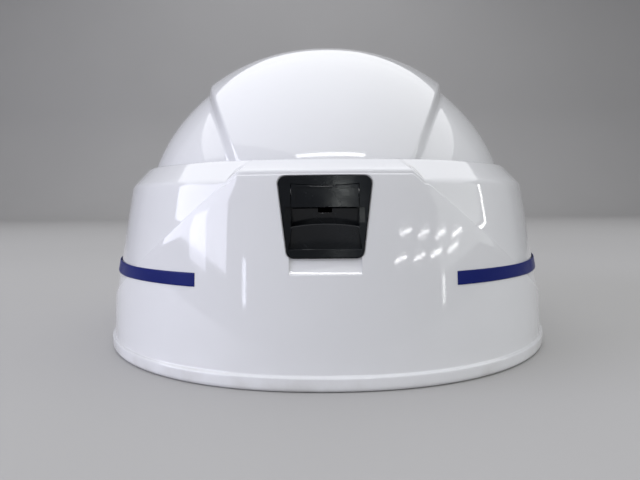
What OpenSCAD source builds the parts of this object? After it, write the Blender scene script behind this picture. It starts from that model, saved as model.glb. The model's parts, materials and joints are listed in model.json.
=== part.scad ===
// Collapsible safety helmet: a ring-shaped base shell with a dome that slides
// down into it. X is to the wearer's side, the front faces -Y, Z is up, and the
// helmet stands on its bottom edge at Z = 0.

/* [Base shell] */
// Half width of the base shell at its bottom edge
base_half_w = 107; // [103:0.5:110]
// Half length of the base shell at its bottom edge
base_half_l = 137; // [134:0.5:141]
// Power of the superellipse that the plan outlines follow
plan_power = 2.15; // [2.05:0.05:2.3]
// Inward lean of the front and rear faces, mm for each mm of height
front_lean = 0.12; // [0.1:0.01:0.13]
// Inward lean of the sides below the crease, mm for each mm of height
side_lean = 0.02; // [0.01:0.01:0.04]
// Extra inward lean of the side panels above the crease
panel_lean = 0.137; // [0.1:0.01:0.15]
// Wall thickness of the base shell
base_wall = 2.5; // [2.2:0.1:3]
// Height of the rim of the side panels
side_rim_z = 72; // [71:0.5:73]
// Height of the rim above the front panel
front_rim_z = 75.6; // [75:0.2:76.4]
// Half width of the front panel where its crease starts
panel_half_w = 36; // [33:0.5:40]
// Height of the crease at the corner of the front panel
crease_top_z = 72.3; // [71:0.1:73]
// Drop of the crease for each mm of width
crease_slope = 0.8; // [0.72:0.01:0.85]
// Height of the bead round the bottom edge
bead_h = 5; // [4:0.5:6]
// How far the bead stands proud of the wall
bead_out = 1.2; // [0.8:0.1:1.6]
// Height of the collar that the dome rises through
collar_z = 80.5; // [79.5:0.5:81.5]
// Thickness of the collar
collar_t = 2.5; // [2:0.1:3]
// Gap between the collar and the dome
collar_gap = 0.8; // [0.6:0.1:1.2]

/* [Dome] */
// Height of the dome's widest level
dome_z = 65; // [64:0.5:66]
// Distance from the base shell's bottom outline in to the dome's widest, at the sides
dome_side_gap = 17; // [16:0.5:19]
// Distance from the base shell's bottom outline in to the dome's widest, at the front and rear
dome_end_gap = 21.2; // [20.6:0.1:22]
// Rise of the dome's sides above the widest level
dome_rise = 78; // [77:0.5:79]
// Power of the dome's side profile
dome_power = 1.8; // [1.75:0.01:1.85]
// How much narrower than the dome the raised band's ellipsoid is
band_narrow = 1; // [0:0.5:2]
// How much longer than the dome the raised band's ellipsoid is
band_longer = 1.5; // [1.2:0.1:2]
// Rise of the raised band above the widest level
band_rise = 78.5; // [78:0.5:79.5]
// Power of the raised band's profile
band_power = 1.97; // [1.92:0.01:2.02]
// Half width of the raised band where it meets the collar
band_edge_w = 36.4; // [34:0.2:38]
// Widening of the raised band, mm for each mm of height
band_flare = 0.36; // [0.3:0.01:0.4]
// Wall thickness of the dome
dome_wall = 3; // [2.6:0.1:3.3]
// How far the stop flange stands out from the skirt
flange_out = 2; // [1.5:0.1:2.4]
// Height of the stop flange
flange_h = 3.4; // [3:0.1:3.8]
// Travel of the dome from raised to lowered
dome_travel = 63; // [62:0.1:63.2]

/* [Latch] */
// Width of the latch at its top
latch_top_w = 33.2; // [32:0.2:35]
// Width of the latch at its bottom
latch_bottom_w = 26; // [25:0.2:27]
// Height of the latch's lower edge
latch_bottom_z = 45.5; // [44:0.5:47]
// Height of the latch's upper edge
latch_top_z = 74; // [73.6:0.1:74.4]
// Corner radius of the latch
latch_corner = 2.4; // [1.5:0.1:3]
// Gap between the latch and its window
latch_gap = 0.3; // [0.2:0.05:0.5]
// Depth of the latch housing behind the shell's face
housing_depth = 5.2; // [5:0.1:5.6]
// How far the latch housing stands proud of the shell
housing_proud = 0.4; // [0.2:0.1:0.8]
// Radius of the curved face of the latch
latch_face_r = 122; // [100:1:150]
// Width of the lever
lever_w = 23.4; // [22:0.2:24]
// Height of the lower edge of the lever
lever_bottom_z = 63.1; // [62.5:0.1:63.6]
// Thickness of the lever's plate
lever_t = 2.2; // [1.8:0.1:2.4]
// Height of the lever's pin
pin_z = 69; // [68.8:0.1:69.2]
// Radius of the lever's pin
pin_r = 1.1; // [0.9:0.05:1.3]
// Running clearance round the pin
pin_gap = 0.05; // [0.03:0.01:0.09]
// Height of the lower edge of the finger gap
finger_gap_z = 57.8; // [57:0.1:58.5]
// Height of the groove above the bottom bar of the latch
bar_z = 48.6; // [48:0.1:49.2]
// Depth of the sloping face at the groove
ramp_depth = 1.4; // [1:0.1:2]
// Thickness of the catch spring
spring_t = 0.8; // [0.6:0.1:1]
// Width of the catch spring
spring_w = 14; // [12:0.5:16]
// Angle that the lever is shown at
lever_angle = 0; // [0:1:25]

/* [Recess and stripes] */
// Width of the shallow recess under the latch
recess_w = 25.4; // [24:0.2:27]
// Height of the lower edge of the recess
recess_z = 39.4; // [38:0.2:41]
// Depth of the recess at the latch
recess_depth = 1.1; // [0.8:0.1:1.4]
// Height of the lower edge of the side stripes
stripe_z = 34.5; // [30:0.5:36]
// Height of the side stripes
stripe_h = 5; // [4:0.5:6]
// Distance from the middle to the inner ends of the stripes
stripe_x = 48; // [44:0.5:60]
// Thickness of the stripe tape
stripe_t = 0.3; // [0.2:0.05:0.5]

/* [Harness] */
// Height of the underside of the harness frame
frame_z = 2.6; // [2.4:0.1:2.8]
// Thickness of the harness frame
frame_t = 2; // [1.8:0.1:2.2]
// Gap between the harness frame and the shell
frame_gap = 0.3; // [0.2:0.05:0.6]
// Distance from the base shell's bottom outline in to the headband, at the sides
head_side_gap = 31.5; // [31:0.5:35]
// Distance from the base shell's bottom outline in to the headband, at the front
head_end_gap = 40.5; // [40:0.5:45]
// Thickness of the headband
band_t = 1.6; // [1.2:0.1:2]
// Height of the headband's lower edge
headband_z = 8; // [7:0.5:9]
// Height of the headband
headband_h = 22; // [18:0.5:23]
// How far the headband's straight tails lie inside its widest
tail_in = 5.5; // [5:0.5:7]
// How far back the headband's tails reach
tail_y = 58; // [52:1:60]
// Height of the tails and of the nape band
tail_h = 10; // [8:0.5:10.5]
// Gap between the sliding tails
tail_gap = 0.3; // [0.2:0.05:0.5]
// How much nearer than the headband's front the nape band is to the middle
nape_in = 2.5; // [2:0.5:6]
// Thickness of the sweatband
sweat_t = 3; // [2:0.5:4]
// Thickness of the posts
post_t = 2.6; // [2.2:0.1:2.8]
// Height of the top of the posts
post_z = 20; // [18:0.5:21]
// Height of the top of the strap hooks
hook_z = 27; // [25:0.5:27.5]
// Width of the crown straps
crown_w = 13; // [11:0.5:15]
// Thickness of the crown straps
crown_t = 1; // [0.8:0.1:1.2]
// Height of the uppermost crown strap
crown_z = 108; // [100:0.5:110]
// Step in height from one crown strap to the next
crown_step = 2.3; // [2.2:0.1:2.8]
// Radius of the crown pad
pad_r = 24; // [20:0.5:26]
// Thickness of the crown pad
pad_t = 6; // [4:0.5:8]
// Thickness of the impact liner
liner_t = 12; // [10:0.5:14]
// Height of the impact liner's lower edge
liner_z = 101; // [100.5:0.5:104]
// Clearance between soft pieces and their neighbours
soft_gap = 0.3; // [0.25:0.05:0.4]

/* [Chin strap] */
// Width of the webbing
web_w = 15; // [12:0.5:18]
// Thickness of the webbing
web_t = 1.2; // [1:0.1:1.4]
// Height of the middle of the webbing on the table
web_z = 1.7; // [1.6:0.05:1.75]
// Distance of the strap dividers from the middle
divider_x = 46; // [44:0.5:48]
// Length and width of a strap divider
divider_w = 18; // [16.5:0.5:20]
// How far outside the headband the ear strap rivets are
anchor_out = 2; // [1:0.5:3]
// Distance of the ear strap rivets to the front and rear
anchor_y = 36; // [33:0.5:40]
// Middle of the buckle's socket, to the right
socket_x = 21; // [19:0.5:21.5]
// Length of the buckle's socket
socket_l = 24; // [22:0.5:26]
// Width of the buckle's socket
socket_w = 22; // [20:0.5:24]
// Thickness of the buckle's socket
socket_t = 8.4; // [8:0.1:9]
// Clearance of the buckle's tongue in the socket
tongue_gap = 0.3; // [0.2:0.05:0.5]

/* [Fasteners] */
// Shank radius of the frame screws
screw_r = 1.45; // [1.2:0.05:1.6]
// Clearance of a screw in its hole
screw_gap = 0.05; // [0.03:0.01:0.09]
// Head radius of the frame screws
screw_head_r = 3; // [2.6:0.1:3.4]
// Radius of the bosses that the frame screws enter
boss_r = 4.2; // [3.6:0.1:4.5]
// Height of the top of the bosses
boss_z = 14; // [12:0.5:16]
// Shank radius of the rivets
rivet_r = 1.6; // [1.3:0.1:1.8]
// Head radius of the rivets
rivet_head_r = 3; // [2.6:0.1:3.4]
// Thickness of the rivet heads
rivet_head_t = 0.8; // [0.6:0.1:0.9]

/* [Hidden] */
$fn = 40;

white = [0.92, 0.92, 0.93];
black = [0.05, 0.05, 0.06];
blue = [0.06, 0.1, 0.45];
grey = [0.55, 0.56, 0.58];
steel = [0.75, 0.76, 0.78];
foam = [0.2, 0.2, 0.21];
webbing = [0.12, 0.12, 0.13];

EPS = 0.01;
dome_half_w = base_half_w - dome_side_gap;
dome_half_l = base_half_l - dome_end_gap;
band_half_w = dome_half_w - band_narrow;
band_half_l = dome_half_l + band_longer;
head_half_w = base_half_w - head_side_gap;
head_half_l = base_half_l - head_end_gap;
tail_x = head_half_w - tail_in;
nape_y = head_half_l - nape_in;
anchor_x = head_half_w + anchor_out;
CREASE_DROP = 1.2;
EDGE_ROUND = 0.8;
LEAN_DEG = atan(front_lean);

// Superellipse helpers: a signed power, a plan point, and the y or x of an outline
function sp(c) = sign(c) * pow(abs(c), 2 / plan_power);
function plan(t, a, b) = [a * sp(cos(t)), b * sp(sin(t))];
function y_at(x, a, b) = b * pow(1 - pow(min(abs(x) / a, 1), plan_power), 1 / plan_power);
function x_at(y, a, b) = y_at(y, b, a);
function t_at(x, a) = acos(pow(min(abs(x) / a, 1), plan_power / 2));
function mix(a, b, k) = a + (b - a) * k;
function steps(a, b, n) = [for (i = [0:n - 1]) mix(a, b, i / n)];
function back(list) = [for (i = [len(list) - 1:-1:0]) list[i]];
// Quarter outline from the right side to the rear, carried round to a whole loop
function around(q) = let (n = len(q)) concat(q,
    [for (i = [n - 2:-1:0]) [-q[i][0], q[i][1], q[i][2]]],
    [for (i = [1:n - 1]) [-q[i][0], -q[i][1], q[i][2]]],
    [for (i = [n - 2:-1:1]) [q[i][0], -q[i][1], q[i][2]]]);
function flat(lists) = [for (l = lists) each l];
function xy(list) = [for (p = list) [p[0], p[1]]];

// Closed grid of rows and columns, both ways round, as on a swept ring
function ring_faces(rows, cols) = [for (r = [0:rows - 1]) for (c = [0:cols - 1])
    let (a = r * cols + c, b = ((r + 1) % rows) * cols + c,
        d = r * cols + (c + 1) % cols, e = ((r + 1) % rows) * cols + (c + 1) % cols)
    each [[a, b, e], [a, e, d]]];

// Grid closed one way, with a pole before the first row and after the last
function capped_faces(rows, cols) = let (last = rows * cols + 1) concat(
    [for (r = [0:rows - 2]) for (c = [0:cols - 1])
        let (a = 1 + r * cols + c, b = 1 + (r + 1) * cols + c,
            d = 1 + r * cols + (c + 1) % cols, e = 1 + (r + 1) * cols + (c + 1) % cols)
        each [[a, e, b], [a, d, e]]],
    [for (c = [0:cols - 1]) [0, 1 + (c + 1) % cols, 1 + c]],
    [for (c = [0:cols - 1]) [last, last - cols + c, last - cols + (c + 1) % cols]]);

// Row of equal rings with flat ends
function rod_faces(rings, sides) = concat([for (r = [0:rings - 2]) for (c = [0:sides - 1])
        let (a = r * sides + c, b = (r + 1) * sides + c,
            d = r * sides + (c + 1) % sides, e = (r + 1) * sides + (c + 1) % sides)
        each [[a, b, e], [a, e, d]]],
    [[for (c = [0:sides - 1]) c]], [[for (c = [sides - 1:-1:0]) (rings - 1) * sides + c]]);

// Polygon with each corner rounded to radius r
function turn(a) = a > 180 ? a - 360 : a < -180 ? a + 360 : a;
function corner(p, a, b, r) = let (u = (a - p) / norm(a - p), v = (b - p) / norm(b - p),
        half = acos(u * v) / 2, c = p + (u + v) / norm(u + v) * r / sin(half),
        s = p + u * r / tan(half) - c, e = p + v * r / tan(half) - c, a0 = atan2(s[1], s[0]),
        da = turn(atan2(e[1], e[0]) - a0))
    [for (i = [0:5]) c + r * [cos(a0 + da * i / 5), sin(a0 + da * i / 5)]];
function rounded(pts, r) = let (n = len(pts))
    [for (i = [0:n - 1]) each corner(pts[i], pts[(i + n - 1) % n], pts[(i + 1) % n], r)];

// Strip of constant thickness along an open path of plane points
function normal_at(p, i) = let (a = p[max(i - 1, 0)], b = p[min(i + 1, len(p) - 1)], d = b - a)
    [d[1], -d[0]] / norm(d);
function shifted(p, d) = [for (i = [0:len(p) - 1]) p[i] + normal_at(p, i) * d];
function strip(p, d0, d1) = concat(shifted(p, d0), back(shifted(p, d1)));

// Base shell surface
function crease_z(x) = crease_top_z - crease_slope * (abs(x) - panel_half_w);
function rim_z(x) = min(front_rim_z, max(side_rim_z, crease_z(x)));
function bend_z(x) = min(crease_z(x), rim_z(x) - CREASE_DROP);
function lean_at(x, z) = panel_lean * max(0, z - crease_z(x));
function base_point(t, z, inset) = let (x = base_half_w * abs(sp(cos(t))),
        d = lean_at(x, z) + inset,
        p = plan(t, base_half_w - side_lean * z - d, base_half_l - front_lean * z - d)) [p[0], p[1], z];
rim_high_x = panel_half_w - (front_rim_z - crease_top_z) / crease_slope;
rim_low_x = panel_half_w + (crease_top_z - side_rim_z) / crease_slope;
BASE_SIDE_COLUMNS = 15;
BASE_CORNER_COLUMNS = 3;
BASE_FRONT_COLUMNS = 6;
stripe_t0 = t_at(stripe_x, base_half_w);
corner_columns = [for (x = [rim_low_x, panel_half_w, rim_high_x]) t_at(x, base_half_w)];
base_columns = concat(steps(0, stripe_t0, BASE_SIDE_COLUMNS),
    steps(stripe_t0, corner_columns[0], BASE_CORNER_COLUMNS), [corner_columns[0], corner_columns[1]],
    steps(corner_columns[2], 90, BASE_FRONT_COLUMNS), [90]);
collar_half_w = max(dome_half_w * level(collar_z - collar_t, dome_rise, dome_power),
    band_half_w * level(collar_z - collar_t, band_rise, band_power)) + collar_gap;
collar_half_l = max(dome_half_l * level(collar_z - collar_t, dome_rise, dome_power),
    band_half_l * level(collar_z - collar_t, band_rise, band_power)) + collar_gap;
function collar_point(t, z, grow) = let (p = plan(t, collar_half_w + grow, collar_half_l + grow))
    [p[0], p[1], z];
LIP_DROP = 0.6;
LIP_RUN = 1.4;
// One upright section of the base shell: up the outside, over the collar, down the inside
function base_profile(t) = let (x = base_half_w * abs(sp(cos(t))), zc = bend_z(x), zr = rim_z(x),
        rim = base_point(t, zr + LIP_DROP * EDGE_ROUND, LIP_RUN * EDGE_ROUND),
        lip = collar_point(t, collar_z - LIP_DROP, LIP_RUN),
        under = collar_point(t, collar_z - collar_t, 0), zi = zr - base_wall, zb = min(zc, zi - base_wall),
        inner = base_point(t, zi, base_wall))
    [base_point(t, 0, EDGE_ROUND), base_point(t, EDGE_ROUND, -bead_out),
        base_point(t, bead_h - EDGE_ROUND, -bead_out), base_point(t, bead_h, 0),
        base_point(t, mix(bead_h, zc, 0.34), 0), base_point(t, mix(bead_h, zc, 0.67), 0),
        base_point(t, zc, 0), base_point(t, mix(zc, zr, 0.5), 0), base_point(t, zr, 0),
        rim, mix(rim, lip, 0.5), lip, collar_point(t, collar_z, LIP_RUN / 3),
        collar_point(t, collar_z - LIP_DROP, 0), under,
        mix(under, inner, 0.5), inner, base_point(t, mix(zi, zb, 0.5), base_wall),
        base_point(t, zb, base_wall), base_point(t, mix(zb, bead_h, 0.6), base_wall),
        base_point(t, 0, base_wall)];

// Dome surface: share of the half width that is left at height z
function level(z, rise, power) = pow(1 - pow(min(max(z - dome_z, 0) / rise, 1), power), 1 / power);
band_foot_z = collar_z - 2.2;
BAND_CURVE = 0.0036;
function band_edge(z) = let (h = z - band_foot_z)
    band_edge_w + band_flare * h + BAND_CURVE * pow(max(h, 0), 2);
flange_w = dome_half_w + flange_out;
flange_l = max(dome_half_l, band_half_l) + flange_out;
STOP_GAP = 0.5;
SKIRT_REST = 0.6;
skirt_z = frame_z + frame_t + SKIRT_REST + dome_travel;
underside_slope = (collar_z - collar_t - side_rim_z + base_wall)
    / (base_half_w - (side_rim_z - base_wall) * side_lean - lean_at(base_half_w, side_rim_z) - base_wall
    - collar_half_w);
function underside_z(r) = collar_z - collar_t - (r - collar_half_w) * underside_slope;
flange_top_z = underside_z(flange_w) - STOP_GAP;
flange_z = flange_top_z - flange_h;
FLANGE_SLOPE = 0.4;
CATCH_GAP = 0.3;

DOME_SIDE_COLUMNS = 10;
DOME_BAND_COLUMNS = 12;
STEP_RUN = 1.4;
// Height at which a falling width meets the band's edge, by halving the interval
function crossing(w, rise, power, run, lo, hi, n) = let (m = (lo + hi) / 2) n == 0 ? m
    : w * level(m, rise, power) > band_edge(m) - run
    ? crossing(w, rise, power, run, m, hi, n - 1) : crossing(w, rise, power, run, lo, m, n - 1);
side_top_z = crossing(dome_half_w, dome_rise, dome_power, 0, collar_z, dome_z + dome_rise, 24);
band_side_z = crossing(band_half_w, band_rise, band_power, STEP_RUN, collar_z, dome_z + band_rise, 24);
// Quarter of one row of the dome: the plain side first, then the raised band
function dome_quarter(z, grow) = let (s = level(z, dome_rise, dome_power),
        b = level(z, band_rise, band_power), edge = band_edge(z),
        sw = dome_half_w * s + grow, sl = dome_half_l * s + grow,
        bw = band_half_w * b + grow, bl = band_half_l * b + grow,
        split = z < side_top_z - EPS, t0 = t_at(edge, sw), t1 = t_at(edge - STEP_RUN, bw),
        top = z > band_side_z - EPS ? bw : band_edge(side_top_z))
    concat([for (i = [0:DOME_SIDE_COLUMNS - 1]) let (p = plan(t0 * i / (DOME_SIDE_COLUMNS - 1), sw, sl))
            split ? [p[0], p[1], z] : [top, 0, z]],
        [for (i = [0:DOME_BAND_COLUMNS]) let (p = plan(mix(t1, 90, i / DOME_BAND_COLUMNS), bw, bl),
            q = plan(90 * (i + 1) / (DOME_BAND_COLUMNS + 1), bw, bl))
            z > band_side_z - EPS ? [q[0], q[1], z] : [p[0], p[1], z]]);
// Index of a dome point: where the side has closed, its columns share one point
function dome_id(r, c, rows, cols, closed) = let (n = DOME_SIDE_COLUMNS - 1,
        half = cols / 2, k = c > half - n && c < half + n ? half : c < n || c > cols - n ? 0 : c)
    1 + r * cols + (r < closed ? k : c);
// Triangle, unless two of its points are one
function tri(a, b, c) = a == b || b == c || a == c ? [] : [[a, b, c]];
function dome_faces(rows, cols, closed) = let (last = rows * cols + 1) concat(
    [for (r = [0:rows - 2]) for (c = [0:cols - 1]) let (n = (c + 1) % cols,
            a = dome_id(r, c, rows, cols, closed), b = dome_id(r + 1, c, rows, cols, closed),
            d = dome_id(r, n, rows, cols, closed), e = dome_id(r + 1, n, rows, cols, closed))
        each concat(tri(a, e, b), tri(a, d, e))],
    [for (c = [0:cols - 1]) each tri(0, dome_id(0, (c + 1) % cols, rows, cols, closed),
        dome_id(0, c, rows, cols, closed))],
    [for (c = [0:cols - 1]) [last, last - cols + c, last - cols + (c + 1) % cols]]);
function inner_level(z, off) = let (rise = dome_rise - off)
    pow(1 - pow(min((z - dome_z) / rise, 1), dome_power), 1 / dome_power);
// Quarter of one row of the smooth surface that lies off inside the dome
function lining_quarter(z, off) = let (k = inner_level(z, off),
        n = DOME_SIDE_COLUMNS + DOME_BAND_COLUMNS)
    [for (i = [0:n]) let (p = plan(90 * i / n, (dome_half_w - off) * k, (dome_half_l - off) * k))
        [p[0], p[1], z]];
// Heights that crowd towards the top of a surface of the given rise
function heights(z0, rise, n) = let (a0 = asin(min((z0 - dome_z) / rise, 1)))
    [for (i = [0:n - 1]) dome_z + rise * sin(mix(a0, 90, i / n))];

// Mounting of the latches: a local frame on the leaning face, turned round for the rear
latch_mid_z = 60;
latch_y = base_half_l - front_lean * latch_mid_z;
module at_latch(rear) {
    rotate([0, 0, rear ? 180 : 0]) translate([0, -latch_y, latch_mid_z]) rotate([-LEAN_DEG, 0, 0])
        translate([0, 0, -latch_mid_z]) children();
}

function line_y(depth, z) = -latch_y + depth / cos(LEAN_DEG) + (z - latch_mid_z) * front_lean;

// Outline of the latch as seen from the front, grown all round
function latch_outline(grow) = rounded([[-latch_top_w / 2 - grow, latch_top_z + grow],
    [latch_top_w / 2 + grow, latch_top_z + grow],
    [latch_bottom_w / 2 + grow, latch_bottom_z - grow],
    [-latch_bottom_w / 2 - grow, latch_bottom_z - grow]], latch_corner + grow);
// Prism of an outline drawn in X and Z, from depth y0 to depth y1
module facing(outline, y0, y1) {
    translate([0, y1, 0]) rotate([90, 0, 0]) linear_extrude(height = y1 - y0) polygon(outline);
}
// Cylinder along the depth axis
module bored(x, z, y0, y1, r) {
    translate([x, y1, z]) rotate([90, 0, 0]) cylinder(h = y1 - y0, r = r);
}
// Cylinder along X, centred
module cross_pin(y, z, length, r) {
    translate([0, y, z]) rotate([0, 90, 0]) cylinder(h = length, r = r, center = true);
}
module block(x0, x1, y0, y1, z0, z1) {
    translate([x0, y0, z0]) cube([x1 - x0, y1 - y0, z1 - z0]);
}

// Places of repeated fittings
SCREW_T = [35, 90, 145, 215, 270, 325];
BOSS_INSET = 3.2;
function wall_half(z) = [base_half_w - side_lean * z - base_wall, base_half_l - front_lean * z - base_wall];
function wall_x(y, z) = let (d = lean_at(x_at(y, base_half_w, base_half_l), z))
    x_at(y, wall_half(z)[0] - d, wall_half(z)[1] - d);
function wall_y(x, z) = let (d = lean_at(x, z)) y_at(x, wall_half(z)[0] - d, wall_half(z)[1] - d);
function screw_at(t) = plan(t, wall_half(frame_z)[0] - BOSS_INSET, wall_half(frame_z)[1] - BOSS_INSET);
frame_top = frame_z + frame_t;
post_w = crown_w + 1;
post_y = 29;
front_post_y = 38;
post_gap = 0.3;
nape_room = 3.4;
rear_post_y = nape_y + band_t + nape_room;
front_post = [-x_at(front_post_y, head_half_w + post_gap, head_half_l + post_gap), -front_post_y];
// Direction square to an outline at one of its points
function outline_angle(p, a, b) = atan2(sign(p[1]) * pow(abs(p[1] / b), plan_power - 1) / b,
    sign(p[0]) * pow(abs(p[0] / a), plan_power - 1) / a);
front_post_a = outline_angle(front_post, head_half_w, head_half_l);
// Each post's foot at its inner face, and the direction that it faces
POSTS = [[0, -head_half_l - post_gap, -90], [front_post[0], front_post[1], front_post_a],
    [-front_post[0], front_post[1], 180 - front_post_a],
    [tail_x + band_t / 2 + post_gap, post_y, 0], [-tail_x - band_t / 2 - post_gap, post_y, 180],
    [0, rear_post_y, 90]];
module at_post(p) {
    translate([p[0], p[1], 0]) rotate([0, 0, p[2]]) children();
}

RIB_T = 2.4;
RIB_GAP = 0.6;
RIB_BITE = 1.2;
SIDE_RIB_Y = 22;
END_RIB_X = 34;
rib_z = frame_top + 0.4;
module side_rib() {
    r = x_at(SIDE_RIB_Y - RIB_T / 2, flange_w, flange_l) + RIB_GAP;
    zc = bend_z(base_half_w);
    ztop = side_rim_z - base_wall;
    points = [[r, rib_z], [wall_x(SIDE_RIB_Y, rib_z) + RIB_BITE, rib_z],
        [wall_x(SIDE_RIB_Y, zc) + RIB_BITE, zc], [wall_x(SIDE_RIB_Y, ztop) + RIB_BITE, ztop],
        [r, underside_z(r) + RIB_BITE]];
    translate([0, SIDE_RIB_Y + RIB_T / 2, 0]) rotate([90, 0, 0]) linear_extrude(height = RIB_T)
        polygon(points);
}
module end_rib() {
    r = y_at(END_RIB_X - RIB_T / 2, flange_w, flange_l) + RIB_GAP;
    ztop = side_rim_z - base_wall;
    points = [[r, rib_z], [wall_y(END_RIB_X, rib_z) + RIB_BITE, rib_z],
        [wall_y(END_RIB_X, ztop) + RIB_BITE, ztop], [r, ztop]];
    translate([END_RIB_X - RIB_T / 2, 0, 0]) rotate([90, 0, 90]) linear_extrude(height = RIB_T)
        polygon(points);
}
module four_ways() {
    for (sx = [0, 1]) for (sy = [0, 1]) mirror([sx, 0, 0]) mirror([0, sy, 0]) children();
}

EAR_X = 20.4;
EAR_Z = 56;
EAR_Y = 5.6;
EAR_T = 1.4;
EAR_BOSS_R = 3.2;
EAR_SCREW_R = 0.95;
EAR_SCREW_END = 3.4;
EAR_HALF_H = 4;
EAR_TIP_X = EAR_X + EAR_HALF_H;
LATCH_LAP = 0.4;
OVERCUT = 3;
WINDOW_OUT = 6;
WINDOW_IN = 12;
module latch_bosses() {
    for (s = [-1, 1]) bored(s * EAR_X, EAR_Z, EAR_SCREW_END - 0.8, EAR_Y - 0.1, EAR_BOSS_R);
}
module latch_cuts() {
    facing(latch_outline(latch_gap), -WINDOW_OUT, WINDOW_IN);
    for (s = [-1, 1]) bored(s * EAR_X, EAR_Z, EAR_SCREW_END - 0.2, EAR_Y + 1, EAR_SCREW_R + screw_gap);
}
// Wedge that sinks into the shell towards the latch
module recess_cut() {
    rise = latch_bottom_z - recess_z;
    translate([0, 0, recess_z]) rotate([90, 0, 90]) linear_extrude(height = recess_w, center = true)
        polygon([[0, 0], [recess_depth, rise + LATCH_LAP], [-OVERCUT, rise + LATCH_LAP], [-OVERCUT, 0]]);
}
module lower_shell() {
    rows = len(base_profile(0));
    profiles = [for (t = base_columns) base_profile(t)];
    loop = [for (r = [0:rows - 1]) around([for (p = profiles) p[r]])];
    color(white) difference() {
        union() {
            polyhedron(points = flat(loop), faces = ring_faces(rows, len(loop[0])));
            for (t = SCREW_T) translate([screw_at(t)[0], screw_at(t)[1], frame_top + 0.1])
                cylinder(h = boss_z - frame_top, r = boss_r);
            four_ways() side_rib();
            four_ways() end_rib();
            for (rear = [false, true]) at_latch(rear) latch_bosses();
        }
        for (rear = [false, true]) at_latch(rear) {
            latch_cuts();
            recess_cut();
        }
        for (t = SCREW_T) translate([screw_at(t)[0], screw_at(t)[1], frame_z])
            cylinder(h = boss_z - frame_z - 1, r = screw_r + screw_gap);
    }
}

TOP_ROWS = 6;
SIDE_ROWS = 6;
// Faint unevenness of the moulded surface, a ten-thousandth of a millimetre deep
UNEVEN = 0.0001;
UNEVEN_TURN = [137, 211, 307];
function uneven(points) = [for (i = [0:len(points) - 1])
    points[i] + UNEVEN * [for (turn = UNEVEN_TURN) sin(turn * i)]];
module upper_shell() {
    low = [collar_z - 3, collar_z];
    side = [for (i = [1:SIDE_ROWS]) mix(collar_z, side_top_z, i / SIDE_ROWS)];
    top = heights(band_side_z, band_rise, TOP_ROWS);
    outer_z = back(concat(low, side, [(side_top_z + band_side_z) / 2], top));
    closed = TOP_ROWS + 2;
    collar_rows = [for (z = outer_z) around(dome_quarter(z, 0))];
    flange_rows = [for (q = [[flange_top_z + 0.5, 0], [flange_top_z, flange_out], [flange_z, flange_out],
        [flange_z - FLANGE_SLOPE, 0], [skirt_z, 0]]) around(dome_quarter(q[0], q[1]))];
    inner_rows = [for (z = concat([skirt_z, collar_z - 4], heights(collar_z + 6, dome_rise - dome_wall, 9)))
        around(lining_quarter(z, dome_wall))];
    rows = concat(collar_rows, flange_rows, inner_rows);
    color(white) polyhedron(points = uneven(concat([[0, 0, dome_z + band_rise]], flat(rows),
        [[0, 0, dome_z + dome_rise - dome_wall]])), faces = dome_faces(len(rows), len(rows[0]), closed));
}

module impact_liner() {
    out = dome_wall + soft_gap;
    outer_rows = [for (z = back(heights(liner_z, dome_rise - out, 8))) around(lining_quarter(z, out))];
    inner_rows = [for (z = heights(liner_z, dome_rise - out - liner_t, 6))
        around(lining_quarter(z, out + liner_t))];
    rows = concat(outer_rows, inner_rows);
    color(foam) polyhedron(points = concat([[0, 0, dome_z + dome_rise - out]], flat(rows),
        [[0, 0, dome_z + dome_rise - out - liner_t]]), faces = capped_faces(len(rows), len(rows[0])));
}

// Harness frame: a flat ring inside the bottom edge, with the posts on its inner rim
FRAME_POINTS = 24;
function loop_xy(a, b) = xy(around([for (i = [0:FRAME_POINTS])
    let (p = plan(90 * i / FRAME_POINTS, a, b)) [p[0], p[1], 0]]));
opening_w = head_half_w + post_gap;
opening_l = rear_post_y;
module post() {
    block(0, post_t, -post_w / 2, post_w / 2, frame_top - 1, post_z);
}
RIVET_Z = 14;
FRAME_W = 11;
ARM_W = 16;
// Point on the inner rim of the frame that faces a screw
function rim_at(t) = plan(t, opening_w + 2, opening_l + 2);
module arm(t) {
    from = rim_at(t);
    to = screw_at(t);
    translate([from[0], from[1], frame_z]) rotate([0, 0, atan2(to[1] - from[1], to[0] - from[0])])
        block(0, norm(to - from) + ARM_W, -ARM_W / 2, ARM_W / 2, 0, frame_t);
}
module harness_frame() {
    edge = wall_half(frame_z);
    color(grey) difference() {
        union() {
            translate([0, 0, frame_z]) linear_extrude(height = frame_t) difference() {
                polygon(loop_xy(opening_w + FRAME_W, opening_l + FRAME_W));
                polygon(loop_xy(opening_w, opening_l));
            }
            intersection() {
                translate([0, 0, frame_z]) linear_extrude(height = frame_t)
                    polygon(loop_xy(edge[0] - frame_gap, edge[1] - frame_gap));
                union() {
                    for (t = SCREW_T) arm(t);
                }
            }
            for (p = POSTS) at_post(p) post();
        }
        for (t = SCREW_T) translate([screw_at(t)[0], screw_at(t)[1], frame_z - 1])
            cylinder(h = frame_t + 2, r = screw_r + screw_gap);
        for (t = SCREW_T) translate([screw_at(t)[0], screw_at(t)[1], frame_z - EPS])
            cylinder(h = SCREW_HEAD_T + EPS, r1 = screw_head_r + screw_gap, r2 = screw_r + screw_gap);
        for (p = BAND_POSTS) at_post(p) translate([-1, 0, RIVET_Z]) rotate([0, 90, 0])
            cylinder(h = post_t + 2, r = rivet_r + screw_gap);
        four_ways() translate([anchor_x, anchor_y, frame_z - 1])
            cylinder(h = frame_t + 2, r = rivet_r + screw_gap);
    }
}
SCREW_HEAD_T = 1.5;
BAND_POSTS = [POSTS[0], POSTS[1], POSTS[2], POSTS[3], POSTS[4]];
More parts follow.
